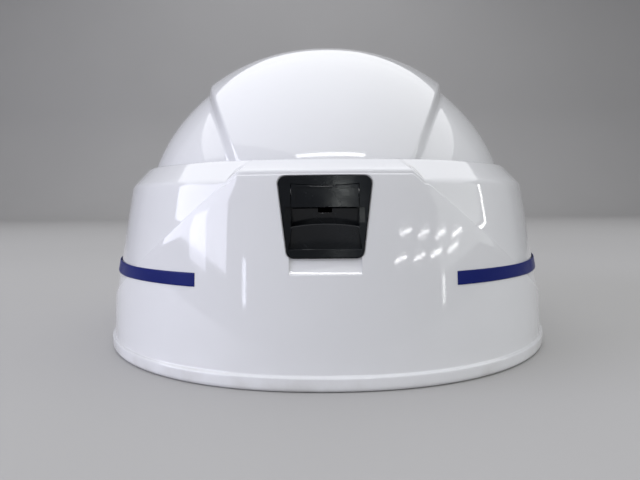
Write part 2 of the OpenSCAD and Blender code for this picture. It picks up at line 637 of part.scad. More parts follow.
module frame_screws() {
    color(steel) for (t = SCREW_T) translate([screw_at(t)[0], screw_at(t)[1], frame_z]) difference() {
        union() {
            cylinder(h = SCREW_HEAD_T, r1 = screw_head_r, r2 = screw_r);
            cylinder(h = boss_z - frame_z - 2, r = screw_r);
        }
        for (a = [0, 90]) rotate([0, 0, a]) block(-1.4, 1.4, -0.3, 0.3, -1, 0.7);
    }
}

// Headband: the front half of an oval with straight tails that run to the rear
HEAD_POINTS = 20;
TAIL_START = 25;
BROW_END = 15;
function head_x(y) = y < TAIL_START
    ? mix(head_half_w, tail_x, 0.5 - 0.5 * cos(180 * y / TAIL_START)) : tail_x;
function head_inset(y) = band_t / 2 * (1 - y / TAIL_START);
head_right = concat([for (i = [0:HEAD_POINTS - 1]) plan(-90 + 90 * i / HEAD_POINTS,
        head_half_w - band_t / 2, head_half_l - band_t / 2)],
    [for (y = [0:5:TAIL_START]) [head_x(y) - head_inset(y), y]], [[tail_x, tail_y]]);
head_path = concat([for (i = [len(head_right) - 1:-1:1]) [-head_right[i][0], head_right[i][1]]], head_right);
module headband() {
    color(grey) difference() {
        union() {
            translate([0, 0, headband_z]) linear_extrude(height = tail_h)
                polygon(strip(head_path, -band_t / 2, band_t / 2));
            translate([0, 0, headband_z]) linear_extrude(height = headband_h) intersection() {
                polygon(strip(head_path, -band_t / 2, band_t / 2));
                translate([-head_half_w, -head_half_l - 1])
                    square([2 * head_half_w, head_half_l + 1 + BROW_END]);
            }
        }
        for (p = BAND_POSTS) at_post(p) translate([-band_t - 2, 0, RIVET_Z]) rotate([0, 90, 0])
            cylinder(h = band_t + 4, r = rivet_r + screw_gap);
    }
}
module rivet(grip, proud) {
    cylinder(h = rivet_head_t, r = rivet_head_r);
    cylinder(h = rivet_head_t + grip + proud, r = rivet_r);
}
// The side rivets end flush, because the nape band slides past them
module band_rivets() {
    grip = post_t + post_gap + band_t;
    color(steel) for (p = BAND_POSTS) at_post(p) translate([post_t + rivet_head_t, 0, RIVET_Z])
        rotate([0, -90, 0]) rivet(grip, p[1] > 0 ? 0 : rivet_head_t);
}
SWEAT_END = 12;
SWEAT_MARGIN = 1.5;
module sweatband() {
    front = [for (p = head_path) if (p[1] < -SWEAT_END) p];
    face = -band_t / 2 - rivet_head_t - soft_gap;
    color(foam) translate([0, 0, headband_z + SWEAT_MARGIN])
        linear_extrude(height = headband_h - 2 * SWEAT_MARGIN) polygon(strip(front, face - sweat_t, face));
}

// Nape band: slides between the headband's tails to change the head size
nape_x = tail_x - band_t - tail_gap;
nape_start = 30;
nape_bend = 50;
nape_half = concat([[nape_x, nape_start], [nape_x, 40]], [for (i = [0:HEAD_POINTS])
    plan(90 * i / HEAD_POINTS, nape_x, nape_y - nape_bend) + [0, nape_bend]]);
nape_path = concat(nape_half, [for (i = [len(nape_half) - 2:-1:0]) [-nape_half[i][0], nape_half[i][1]]]);
module nape_band() {
    color(grey) translate([0, 0, headband_z]) linear_extrude(height = tail_h)
        polygon(strip(nape_path, -band_t / 2, band_t / 2));
}
NAPE_PAD_START = 72;
module nape_pad() {
    rear = [for (p = nape_path) if (p[1] > NAPE_PAD_START) p];
    color(foam) translate([0, 0, headband_z]) linear_extrude(height = tail_h)
        polygon(strip(rear, -band_t / 2 - soft_gap - sweat_t, -band_t / 2 - soft_gap));
}

// Crown straps: arches from hook to hook, stepped in height where they cross
STRAP_IN = post_t / 2;
HOOK_SLOT = 1.6;
function hook_point(i) = let (p = POSTS[i]) [p[0] + STRAP_IN * cos(p[2]), p[1] + STRAP_IN * sin(p[2])];
module strap_hooks() {
    color(black) for (p = POSTS) at_post(p) difference() {
        block(0, post_t, -post_w / 2, post_w / 2, post_z, hook_z);
        block(-1, post_t + 1, -post_w / 2 + 2, post_w / 2 - 2, hook_z - 2 * HOOK_SLOT, hook_z - HOOK_SLOT);
    }
}
ARCH_POWER = 2.6;
ARCH_ROUND = 1.9;
ARCH_POINTS = 40;
function arch_z(k, rise) = rise * pow(1 - pow(abs(k), ARCH_POWER), 1 / ARCH_ROUND);
module crown_strap(p, q, top, width) {
    run = norm(q - p);
    z0 = hook_z + soft_gap;
    rise = top - crown_t / 2 - z0;
    line = [for (i = [0:ARCH_POINTS]) let (k = -cos(180 * i / ARCH_POINTS))
        [k * run / 2, z0 + arch_z(k, rise)]];
    middle = (p + q) / 2;
    translate([middle[0], middle[1], 0]) rotate([0, 0, atan2(q[1] - p[1], q[0] - p[0])])
        translate([0, width / 2, 0]) rotate([90, 0, 0]) linear_extrude(height = width)
            polygon(strip(line, -crown_t / 2, crown_t / 2));
}
module crown_strap_long() {
    color(webbing) crown_strap(hook_point(0), hook_point(5), crown_z, crown_w);
}
module crown_strap_left() {
    color(webbing) crown_strap(hook_point(1), hook_point(3), crown_z - crown_step, crown_w);
}
module crown_strap_right() {
    color(webbing) crown_strap(hook_point(2), hook_point(4), crown_z - 2 * crown_step, crown_w);
}
PAD_DROP = 1.8;
pad_shift = mix(hook_point(1)[1], hook_point(3)[1],
    -hook_point(1)[0] / (hook_point(3)[0] - hook_point(1)[0]));
module crown_pad() {
    top = crown_z - 2 * crown_step - crown_t - PAD_DROP;
    r = min(pad_t / 2, 3);
    color(foam) translate([0, pad_shift, top - pad_t]) rotate_extrude() polygon(concat([[0, 0]],
        [for (a = [0:15:90]) [pad_r - r + r * sin(a), r - r * cos(a)]],
        [for (a = [0:15:90]) [pad_r - r + r * cos(a), pad_t - r + r * sin(a)]], [[0, pad_t]]));
}

// Latch: housing, lever, pin and catch spring, drawn for the front
pin_y = 2.6;
FACE_BACK = 0.2;
LEVER_GAP = 0.4;
BACK_WALL = 0.8;
PIVOT_GAP = 0.3;
nose_r = pin_y + FACE_BACK;
EAR_ROOT_X = 14;
EAR_IN_X = 10;
module ear_plate(s, tip, y0, y1) {
    block(min(s * EAR_IN_X, s * tip), max(s * EAR_IN_X, s * tip), y0, y1,
        EAR_Z - EAR_HALF_H, EAR_Z + EAR_HALF_H);
}
module spring_screw_hole() {
    bored(0, SPRING_Z + 2, SPRING_Y - 2, SPRING_Y + 3, EAR_SCREW_R + screw_gap);
}
module latch_housing() {
    half = lever_w / 2 + LEVER_GAP;
    pocket_r = nose_r + PIVOT_GAP;
    difference() {
        intersection() {
            facing(latch_outline(0), -2, housing_depth);
            translate([0, latch_face_r - housing_proud, latch_bottom_z - 2])
                cylinder(h = latch_top_z - latch_bottom_z + 4, r = latch_face_r, $fn = 96);
        }
        block(-half, half, -3, housing_depth + 1, lever_bottom_z - LEVER_GAP, pin_z);
        block(-half, half, pin_y, housing_depth + 1, pin_z - EPS, pin_z + pocket_r);
        cross_pin(pin_y, pin_z, 2 * half, pocket_r);
        block(-half, half, -3, housing_depth - BACK_WALL, finger_gap_z, lever_bottom_z);
        translate([0, 0, bar_z]) rotate([90, 0, 90]) linear_extrude(height = 2 * half, center = true)
            polygon([[ramp_depth, 0], [-housing_proud - 2, finger_gap_z - bar_z],
                [-housing_proud - 3, finger_gap_z - bar_z], [-housing_proud - 3, 0]]);
        cross_pin(pin_y, pin_z, PIN_L + 0.2, pin_r + pin_gap);
        spring_screw_hole();
        block(-FOOT_W / 2 - LEVER_GAP, FOOT_W / 2 + LEVER_GAP, housing_depth - BACK_WALL - EPS,
            housing_depth + 1, lever_bottom_z - FOOT_SWING, lever_bottom_z);
    }
    for (s = [-1, 1]) difference() {
        union() {
            ear_plate(s, EAR_TIP_X, EAR_Y, EAR_Y + EAR_T);
            ear_plate(s, EAR_ROOT_X, housing_depth - EPS, EAR_Y + EPS);
        }
        bored(s * EAR_X, EAR_Z, EAR_Y - 1, EAR_Y + EAR_T + 1, EAR_SCREW_R + screw_gap);
    }
    difference() {
        block(-spring_w / 2, spring_w / 2, housing_depth - EPS, SPRING_Y, SPRING_Z, SPRING_Z + 4);
        spring_screw_hole();
    }
}
PIN_L = 28;
SPRING_Y = 5.8;
SPRING_Z = 46.2;
FOOT_Z = 63.4;
FOOT_H = 1.6;
FOOT_W = 4;
FOOT_SWING = 2.2;
module latch_lever() {
    foot_end = SPRING_Y + spring_t + 0.5;
    difference() {
        union() {
            cross_pin(pin_y, pin_z, lever_w, nose_r);
            block(-lever_w / 2, lever_w / 2, -FACE_BACK, lever_t - FACE_BACK, lever_bottom_z, pin_z);
            block(-FOOT_W / 2, FOOT_W / 2, lever_t - FACE_BACK - EPS, foot_end + 1, FOOT_Z, FOOT_Z + FOOT_H);
            block(-FOOT_W / 2, FOOT_W / 2, foot_end, foot_end + 1, FOOT_Z, FOOT_Z + 4.4);
        }
        block(-lever_w / 2 + 1.4, lever_w / 2 - 1.4, -1, 0.2, lever_bottom_z + 1.1, pin_z + 1);
        cross_pin(pin_y, pin_z, lever_w + 2, pin_r + pin_gap);
    }
}
module opened() {
    translate([0, pin_y, pin_z]) rotate([-lever_angle, 0, 0]) translate([0, -pin_y, -pin_z]) children();
}
module catch_spring() {
    tip_y = -band_half_l * level(flange_z, band_rise, band_power) - 0.4;
    nose_top = flange_z - FLANGE_SLOPE - CATCH_GAP;
    nose_z = nose_top - 1.2;
    difference() {
        translate([-spring_w / 2, 0, 0]) rotate([90, 0, 90]) linear_extrude(height = spring_w)
            polygon([[line_y(SPRING_Y, SPRING_Z), SPRING_Z],
                [line_y(SPRING_Y + spring_t, SPRING_Z), SPRING_Z],
                [line_y(SPRING_Y + spring_t, nose_z), nose_z], [tip_y, nose_z + 0.4],
                [tip_y, nose_top], [line_y(SPRING_Y, nose_top), nose_top]]);
        block(-FOOT_W / 2 - 0.5, FOOT_W / 2 + 0.5, -latch_y, -latch_y + WINDOW_IN,
            FOOT_Z - 2.4, FOOT_Z + 2.2);
        translate([0, -latch_y, latch_mid_z]) rotate([-LEAN_DEG, 0, 0]) translate([0, 0, -latch_mid_z])
            spring_screw_hole();
    }
}
module front_latch_housing() {
    color(black) at_latch(false) latch_housing();
}
module rear_latch_housing() {
    color(black) at_latch(true) latch_housing();
}
module front_latch_lever() {
    color(black) at_latch(false) opened() latch_lever();
}
module rear_latch_lever() {
    color(black) at_latch(true) opened() latch_lever();
}
module front_latch_pin() {
    color(steel) at_latch(false) cross_pin(pin_y, pin_z, PIN_L, pin_r);
}
module rear_latch_pin() {
    color(steel) at_latch(true) cross_pin(pin_y, pin_z, PIN_L, pin_r);
}
module front_catch_spring() {
    color(steel) catch_spring();
}
module rear_catch_spring() {
    color(steel) rotate([0, 0, 180]) catch_spring();
}
LATCH_HEAD_R = 2;
LATCH_HEAD_T = 1.1;
module latch_screws() {
    color(steel) for (rear = [false, true]) at_latch(rear) {
        for (s = [-1, 1]) {
            bored(s * EAR_X, EAR_Z, EAR_SCREW_END, EAR_Y + EAR_T + LATCH_HEAD_T, EAR_SCREW_R);
            bored(s * EAR_X, EAR_Z, EAR_Y + EAR_T, EAR_Y + EAR_T + LATCH_HEAD_T, LATCH_HEAD_R);
        }
        bored(0, SPRING_Z + 2, SPRING_Y - 1.8, SPRING_Y + spring_t + LATCH_HEAD_T, EAR_SCREW_R);
        bored(0, SPRING_Z + 2, SPRING_Y + spring_t, SPRING_Y + spring_t + LATCH_HEAD_T, LATCH_HEAD_R);
    }
}

// Stripes of tape that follow the shell round each side
STRIPE_GAP = 0.08;
function stripe_ring(t) = let (x = base_half_w * abs(sp(cos(t))), z0 = stripe_z, z1 = stripe_z + stripe_h,
        zm = min(max(bend_z(x), z0 + 0.3), z1 - 0.3))
    [base_point(t, z0, -STRIPE_GAP), base_point(t, zm, -STRIPE_GAP), base_point(t, z1, -STRIPE_GAP),
        base_point(t, z1, -STRIPE_GAP - stripe_t), base_point(t, zm, -STRIPE_GAP - stripe_t),
        base_point(t, z0, -STRIPE_GAP - stripe_t)];
module side_stripe_right() {
    half = concat(steps(0, stripe_t0, BASE_SIDE_COLUMNS), [stripe_t0]);
    list = concat([for (t = back(half)) -t], [for (i = [1:len(half) - 1]) half[i]]);
    color(blue) polyhedron(points = flat([for (t = list) stripe_ring(t)]), faces = rod_faces(len(list), 6));
}
module side_stripe_left() {
    mirror([1, 0, 0]) side_stripe_right();
}

// Chin strap, stowed flat inside the helmet
web_low = web_z - web_t / 2;
EAR_END = 6;
EAR_TIP_GAP = 0.5;
divider_edge_x = divider_x + divider_w / 2;
module ear_strap() {
    start = [anchor_x, -anchor_y];
    end = [divider_edge_x + 0.4, 0];
    run = norm(end - start);
    translate([start[0], start[1], web_low]) rotate([0, 0, atan2(end[1] - start[1], end[0] - start[0])])
        difference() {
            block(-EAR_END, run - web_w / 2 - EAR_TIP_GAP, -web_w / 2, web_w / 2, 0, web_t);
            translate([0, 0, -1]) cylinder(h = web_t + 2, r = rivet_r + screw_gap);
        }
}
module ear_straps() {
    ear_strap();
    mirror([0, 1, 0]) ear_strap();
}
module ear_straps_right() {
    color(webbing) ear_straps();
}
module ear_straps_left() {
    color(webbing) mirror([1, 0, 0]) ear_straps();
}
module strap_rivets() {
    color(steel) four_ways() translate([anchor_x, anchor_y, web_low - rivet_head_t])
        rivet(frame_top - web_low, rivet_head_t);
}
DIVIDER_Z = 0.3;
DIVIDER_T = 3;
module divider() {
    difference() {
        block(divider_x - divider_w / 2, divider_edge_x, -divider_w / 2, divider_w / 2, DIVIDER_Z,
            DIVIDER_Z + DIVIDER_T);
        block(divider_x - divider_w / 2 - 1, divider_x - 1, -web_w / 2 - 0.4, web_w / 2 + 0.4,
            web_low - 0.2, web_low + web_t + 0.2);
    }
}
module strap_dividers() {
    color(black) for (s = [0, 1]) mirror([s, 0, 0]) divider();
}
// Side view of the folded webbing: x and z points with round turns
FOLD_R = 1.6;
fold_in_x = 27.6;
fold_out_x = 50;
TURN_STEPS = 6;
function fold_turn(x, z, side) = [for (i = [0:TURN_STEPS]) let (a = 180 * i / TURN_STEPS)
    [x - side * FOLD_R * sin(a), z + FOLD_R - FOLD_R * cos(a)]];
TONGUE_L = 21;
BUCKLE_Z = 4.6;
tongue_back_x = socket_x - socket_l / 2 - TONGUE_L;
web_path = concat([[divider_x - 1.4, web_z]], fold_turn(fold_in_x + FOLD_R, web_z, 1),
    fold_turn(fold_out_x - FOLD_R, web_z + 2 * FOLD_R, -1),
    [[fold_in_x + 8, web_z + 4 * FOLD_R], [fold_in_x, BUCKLE_Z + 2], [fold_in_x - 6, BUCKLE_Z],
        [-tongue_back_x + 0.3, BUCKLE_Z]]);
module chin_strap_left() {
    color(webbing) mirror([1, 0, 0]) translate([0, web_w / 2, 0]) rotate([90, 0, 0])
        linear_extrude(height = web_w) polygon(strip(web_path, -web_t / 2, web_t / 2));
}
module chin_strap_right() {
    socket_end = socket_x + socket_l / 2;
    short = [[divider_x - 1.4, web_z], [divider_x - divider_w / 2 - 1, web_z],
        [socket_end + 1.4, BUCKLE_Z - 0.4], [socket_end + soft_gap, BUCKLE_Z]];
    color(webbing) translate([0, web_w / 2, 0]) rotate([90, 0, 0]) linear_extrude(height = web_w)
        polygon(strip(short, -web_t / 2, web_t / 2));
}
CAVITY_H = 4.6;
CAVITY_W = 17;
SOCKET_END = 4;
CLIP_START = 7;
CLIP_END = 15;
module buckle_socket() {
    x0 = socket_x - socket_l / 2;
    z0 = BUCKLE_Z - socket_t / 2;
    color(black) difference() {
        translate([0, 0, z0]) linear_extrude(height = socket_t) polygon(rounded([[x0, -socket_w / 2],
            [x0 + socket_l, -socket_w / 2 + 2], [x0 + socket_l, socket_w / 2 - 2], [x0, socket_w / 2]], 2));
        block(x0 - 1, x0 + socket_l - SOCKET_END, -CAVITY_W / 2, CAVITY_W / 2,
            BUCKLE_Z - CAVITY_H / 2, BUCKLE_Z + CAVITY_H / 2);
        block(x0 + CLIP_START, x0 + CLIP_END, -socket_w, socket_w,
            BUCKLE_Z - CAVITY_H / 2 + 0.4, BUCKLE_Z + CAVITY_H / 2 - 0.4);
    }
}
PRONG_W = 2.2;
module buckle_tongue() {
    x0 = socket_x - socket_l / 2;
    half_w = CAVITY_W / 2 - tongue_gap;
    half_h = CAVITY_H / 2 - tongue_gap;
    base_x = x0 - 0.4;
    color(black) {
        translate([0, 0, BUCKLE_Z - socket_t / 2 + 0.4]) linear_extrude(height = socket_t - 0.8)
            polygon(rounded([[tongue_back_x, -socket_w / 2 + 2], [base_x, -socket_w / 2],
                [base_x, socket_w / 2], [tongue_back_x, socket_w / 2 - 2]], 1.6));
        for (s = [-1, 1]) block(base_x - 1, x0 + CLIP_END + 2, s > 0 ? half_w - PRONG_W : -half_w,
            s > 0 ? half_w : -half_w + PRONG_W, BUCKLE_Z - half_h, BUCKLE_Z + half_h);
        block(base_x - 1, x0 + CLIP_END, -PRONG_W, PRONG_W, BUCKLE_Z - half_h, BUCKLE_Z + half_h);
    }
}

lower_shell();
upper_shell();
impact_liner();
harness_frame();
frame_screws();
headband();
band_rivets();
sweatband();
nape_band();
nape_pad();
strap_hooks();
crown_strap_long();
crown_strap_left();
crown_strap_right();
crown_pad();
front_latch_housing();
rear_latch_housing();
front_latch_lever();
rear_latch_lever();
front_latch_pin();
rear_latch_pin();
front_catch_spring();
rear_catch_spring();
latch_screws();
side_stripe_left();
side_stripe_right();
ear_straps_left();
ear_straps_right();
strap_rivets();
strap_dividers();
chin_strap_left();
chin_strap_right();
buckle_socket();
buckle_tongue();
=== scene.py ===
"""Looks of a collapsible safety helmet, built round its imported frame.

Lengths in the classes are millimetres, as on the drawing; meshes are in metres.
X runs to the right as seen from the front, the front faces -Y, Z is up, and the
helmet stands on its bottom edge at Z = 0.
"""

import json
import logging
from dataclasses import dataclass, field
from enum import Enum
from math import atan, cos, pi, radians, sin, tan
from typing import Any, Callable, Mapping, Sequence

import bmesh
import bpy
import numpy as np
from mathutils import Matrix, Vector


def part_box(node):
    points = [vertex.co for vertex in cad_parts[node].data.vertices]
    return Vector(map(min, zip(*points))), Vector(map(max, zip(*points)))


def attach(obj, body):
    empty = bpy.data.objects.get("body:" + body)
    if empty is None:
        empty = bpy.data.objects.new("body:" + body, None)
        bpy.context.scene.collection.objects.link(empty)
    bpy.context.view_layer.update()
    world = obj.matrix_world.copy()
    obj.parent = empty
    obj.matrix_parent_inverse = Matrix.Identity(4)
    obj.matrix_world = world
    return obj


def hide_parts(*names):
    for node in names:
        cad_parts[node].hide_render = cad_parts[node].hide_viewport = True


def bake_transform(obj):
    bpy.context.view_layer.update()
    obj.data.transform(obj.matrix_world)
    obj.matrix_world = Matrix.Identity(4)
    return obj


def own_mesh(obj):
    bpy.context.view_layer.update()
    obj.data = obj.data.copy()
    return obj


Array = np.ndarray
Colour = tuple[float, float, float]
PointMap = Callable[[Array], Array]

MM = 0.001
TINY = 1e-9
# Points that are closer than this, in metres, become one.
WELD, FINE_WELD, SEAM_WELD = 2e-6, 1e-7, 2e-5
# Faces that turn by less than this many degrees count as one flat face.
FLAT_TURN = 0.6
# Distance to a seam that isn't there, in millimetres.
FAR = 99.0
UP = np.array([0.0, 0.0, 1.0])
OTHER_SIDE = np.array([-1.0, 1.0, 1.0])

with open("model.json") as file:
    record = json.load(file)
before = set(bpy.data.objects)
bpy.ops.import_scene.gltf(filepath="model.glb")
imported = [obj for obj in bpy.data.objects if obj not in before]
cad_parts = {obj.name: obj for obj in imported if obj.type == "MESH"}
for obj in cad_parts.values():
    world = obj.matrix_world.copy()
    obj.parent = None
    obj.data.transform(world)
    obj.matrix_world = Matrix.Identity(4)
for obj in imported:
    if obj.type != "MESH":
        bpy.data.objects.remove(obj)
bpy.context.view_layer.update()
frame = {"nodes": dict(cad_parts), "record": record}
log = logging.getLogger("helmet")


class Slot(str, Enum):
    """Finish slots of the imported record."""

    WHITE = "white_shell"
    LATCH = "black_latch"
    BLACK = "black_plastic"
    GREY = "grey_plastic"
    TAPE = "blue_tape"
    LINER = "liner_foam"
    PAD = "pad_fabric"
    WEBBING = "webbing"
    STEEL = "steel"
    SPRING = "spring_steel"


# Shader writing


@dataclass(frozen=True)
class Wire:
    """An output socket that takes part in arithmetic; each sign adds one Math node."""

    graph: "Graph"
    socket: Any

    def math(self, operation: str, *others: "Wire | float") -> "Wire":
        """Adds a Math node.

        Args:
            operation: the Math node's operation.
            others: the values after this one.
        Returns:
            The node's output.
        """
        values = {i: v for i, v in enumerate((self, *others))}
        return self.graph.add("Math", {"operation": operation}, values)

    def turned(self, operation: str, other: "Wire | float") -> "Wire":
        """Same as math, with the other value first."""
        return self.graph.add("Math", {"operation": operation}, {0: other, 1: self})

    def __add__(self, other: "Wire | float") -> "Wire":
        """Sum."""
        return self.math("ADD", other)

    def __radd__(self, other: float) -> "Wire":
        """Sum, reflected."""
        return self.turned("ADD", other)

    def __sub__(self, other: "Wire | float") -> "Wire":
        """Difference."""
        return self.math("SUBTRACT", other)

    def __rsub__(self, other: float) -> "Wire":
        """Difference, reflected."""
        return self.turned("SUBTRACT", other)

    def __mul__(self, other: "Wire | float") -> "Wire":
        """Product."""
        return self.math("MULTIPLY", other)

    def __rmul__(self, other: float) -> "Wire":
        """Product, reflected."""
        return self.turned("MULTIPLY", other)

    def __truediv__(self, other: "Wire | float") -> "Wire":
        """Quotient."""
        return self.math("DIVIDE", other)

    def __rtruediv__(self, other: float) -> "Wire":
        """Quotient, reflected."""
        return self.turned("DIVIDE", other)

    def band(self, low: float, high: float) -> "Wire":
        """Smooth step from 0 at low to 1 at high."""
        settings = {"interpolation_type": "SMOOTHSTEP"}
        return self.graph.add("MapRange", settings, {"Value": self, "From Min": low, "From Max": high})


class Graph:
    """Node tree of one material, with the Principled shader at its end."""

    def __init__(self, name: str) -> None:
        """Starts the material and its shader.

        Args:
            name: the material's name.
        """
        self.material = bpy.data.materials.new(name)
        self.material.use_nodes = True
        self.nodes = self.material.node_tree.nodes
        self.links = self.material.node_tree.links
        self.shader = self.nodes["Principled BSDF"]

    def add(self, kind: str, settings: Mapping[str, Any] | None = None,
            values: Mapping[Any, Any] | None = None, output: int | str = 0) -> Wire:
        """Adds a node.

        Args:
            kind: the node's type, without its ShaderNode prefix.
            settings: the node's own settings.
            values: numbers, colours or wires for its sockets, by name or number.
            output: which output is returned.
        Returns:
            The chosen output.
        """
        node = self.nodes.new("ShaderNode" + kind)
        for key, value in (settings or {}).items():
            setattr(node, key, value)
        for key, value in (values or {}).items():
            self.plug(node.inputs[key], value)
        return Wire(self, node.outputs[output])

    def plug(self, socket: Any, value: Any) -> None:
        """Links a wire to a socket, or sets the socket's own value.

        Args:
            socket: an input of a node.
            value: a wire, a number or a colour.
        """
        if isinstance(value, Wire):
            self.links.new(value.socket, socket)
        elif isinstance(value, tuple) and len(value) == 3 and len(socket.default_value) == 4:
            socket.default_value = (*value, 1.0)
        else:
            socket.default_value = value

    def dress(self, **values: Any) -> None:
        """Sets sockets of the shader; underscores in a name stand for spaces."""
        for key, value in values.items():
            self.plug(self.shader.inputs[key.replace("_", " ")], value)

    def object_place(self, scale: Sequence[float] = (1, 1, 1), turn: Sequence[float] = (0, 0, 0)) -> Wire:
        """Object coordinates, stretched and turned."""
        place = self.add("TexCoord", output="Object")
        return self.add("Mapping", None, {"Vector": place, "Scale": tuple(scale), "Rotation": tuple(turn)})

    def uv(self) -> tuple[Wire, Wire]:
        """The piece's own UV map, in metres along and across the piece."""
        split = self.add("SeparateXYZ", None, {"Vector": self.add("TexCoord", output="UV")})
        return split, Wire(self, split.socket.node.outputs[1])

    def noise(self, place: Wire, scale: float, detail: float = 3, rough: float = 0.5) -> Wire:
        """Noise from 0 to 1."""
        values = {"Vector": place, "Scale": scale, "Detail": detail, "Roughness": rough}
        return self.add("TexNoise", None, values)

    def cells(self, place: Wire, scale: float, feature: str = "F1") -> Wire:
        """Distance in a Voronoi pattern."""
        return self.add("TexVoronoi", {"feature": feature}, {"Vector": place, "Scale": scale}, "Distance")

    def blend(self, share: Wire | float, a: Any, b: Any) -> Wire:
        """Mixes two colours."""
        return self.add("Mix", {"data_type": "RGBA"}, {0: share, 6: a, 7: b}, 2)

    def bump(self, height: Wire, depth: float, strength: float = 1.0) -> Wire:
        """Bump from a height that runs from 0 to 1, of the given depth in metres."""
        return self.add("Bump", None, {"Height": height, "Distance": depth, "Strength": strength})

    def scratches(self, density: float, turn: float, stretch: float = 0.035) -> Wire:
        """Thin straight marks in one direction: noise that is stretched until its peaks are lines.

        Args:
            density: marks per metre across their direction.
            turn: their direction, as a turn in radians.
            stretch: density along a mark, as a share of the density across it.
        Returns:
            1 on a mark and 0 beside it.
        """
        place = self.object_place((1.0, 1.0, 1.0), (turn, turn * 0.7, turn * 1.3))
        warp = self.add("Mapping", None, {"Vector": place, "Scale": (density, density * stretch, density)})
        line = self.noise(warp, 1.0, 1.0).band(0.70, 0.74)
        return line * self.noise(place, density * 0.06, 2.0).band(0.5, 0.62)


@dataclass(frozen=True)
class Plastic:
    """Moulded plastic: a colour, its gloss, its moulding grain, handling marks, and dust at the bottom."""

    colour: Colour
    worn: Colour
    roughness: float = 0.2
    smudge: float = 0.1
    grain: float = 300.0
    grain_depth: float = 0.00001
    marks: float = 0.3
    coat: float = 0.0
    dust: Colour | None = None
    specular: float = 0.5
    dust_top: float = 0.009
    coat_roughness: float = 0.03

    def material(self, name: str) -> Any:
        """Builds the material.

        Args:
            name: the material's name.
        Returns:
            The material.
        """
        g = Graph(name)
        place = g.object_place()
        cloud = g.noise(place, 22, 4).band(0.35, 0.75)
        marks = g.scratches(900, 0.6) + g.scratches(650, -0.9)
        tint = g.blend(cloud * 0.5, self.colour, self.worn)
        tint = g.blend(marks * self.marks, tint, self.worn)
        if self.dust is not None:
            height = g.add("SeparateXYZ", None, {"Vector": place}, 2)
            film = (1 - height.band(0.0, self.dust_top)) * g.noise(place, 60, 5).band(0.4, 0.7)
            tint = g.blend(film * 0.35, tint, self.dust)
        wipe = g.noise(g.object_place((1, 1, 2.2)), 45, 5, 0.6).band(0.45, 0.8)
        rough = wipe * self.smudge + self.roughness + marks * 0.12
        skin = g.noise(place, self.grain, 2)
        g.dress(Base_Color=tint, Roughness=rough, Normal=g.bump(skin, self.grain_depth), IOR=1.5,
                Coat_Weight=self.coat, Coat_Roughness=self.coat_roughness, Specular_IOR_Level=self.specular)
        return g.material


@dataclass(frozen=True)
class Metal:
    """Plated or plain steel with fine brushing."""

    colour: Colour
    stain: Colour
    roughness: float = 0.3

    def material(self, name: str) -> Any:
        """Builds the material.

        Args:
            name: the material's name.
        Returns:
            The material.
        """
        g = Graph(name)
        place = g.object_place()
        brushed = g.noise(g.object_place((1, 1, 14)), 700, 2)
        patches = g.noise(place, 260, 4).band(0.45, 0.8)
        g.dress(Base_Color=g.blend(patches * 0.6, self.colour, self.stain), Metallic=1.0,
                Roughness=brushed * 0.22 + self.roughness + patches * 0.15,
                Normal=g.bump(brushed, 0.000012))
        return g.material


@dataclass(frozen=True)
class Webbing:
    """Woven ribbon: warp cords along it, weft across, from the ribbon's own UV map."""

    colour: Colour
    light: Colour
    pitch: float = 0.0011

    def material(self, name: str) -> Any:
        """Builds the material.

        Args:
            name: the material's name.
        Returns:
            The material.
        """
        g = Graph(name)
        along, across = g.uv()
        column = across * (pi / self.pitch)
        row = along * (pi / self.pitch)
        warp = column.math("SINE").math("ABSOLUTE")
        step = (across / self.pitch).math("FLOOR") * (pi / 2)
        weft = (row + step).math("SINE").math("ABSOLUTE")
        height = warp * 0.6 + weft * warp * 0.4
        fuzz = g.noise(g.object_place(), 2600, 3)
        tone = height * 0.6 + fuzz * 0.4
        g.dress(Base_Color=g.blend(tone.band(0.2, 0.95), self.colour, self.light),
                Roughness=0.9 - height * 0.22, Normal=g.bump(height + fuzz * 0.25, 0.00025),
                Sheen_Weight=0.25, Sheen_Roughness=0.5)
        return g.material


@dataclass(frozen=True)
class Knit:
    """Spacer knit of a pad: small round openings in staggered rows."""

    colour: Colour
    light: Colour
    pitch: float = 0.0021

    def material(self, name: str) -> Any:
        """Builds the material.

        Args:
            name: the material's name.
        Returns:
            The material.
        """
        g = Graph(name)
        place = g.object_place()
        openings = g.cells(place, 1 / self.pitch).band(0.16, 0.42)
        yarn = g.noise(place, 3200, 3)
        worn = g.noise(place, 35, 4).band(0.4, 0.8)
        tone = openings * (yarn * 0.5 + 0.5)
        g.dress(Base_Color=g.blend(tone * (worn * 0.3 + 0.7), self.colour, self.light),
                Roughness=0.96 - openings * 0.1, Normal=g.bump(openings + yarn * 0.3, 0.00035),
                Sheen_Weight=0.4, Sheen_Roughness=0.45)
        return g.material


@dataclass(frozen=True)
class BeadFoam:
    """Expanded foam: fused beads with darker seams between them."""

    colour: Colour
    seam: Colour
    bead: float = 0.0032

    def material(self, name: str) -> Any:
        """Builds the material.

        Args:
            name: the material's name.
        Returns:
            The material.
        """
        g = Graph(name)
        place = g.object_place()
        edge = g.cells(place, 1 / self.bead, "DISTANCE_TO_EDGE").band(0.0, 0.16)
        tone = g.noise(place, 90, 3).band(0.3, 0.8)
        base = g.blend(tone * 0.3, self.colour, self.seam)
        g.dress(Base_Color=g.blend((1 - edge) * 0.55, base, self.seam), Roughness=0.85 - edge * 0.12,
                Normal=g.bump(edge, 0.0002, 0.8))
        return g.material


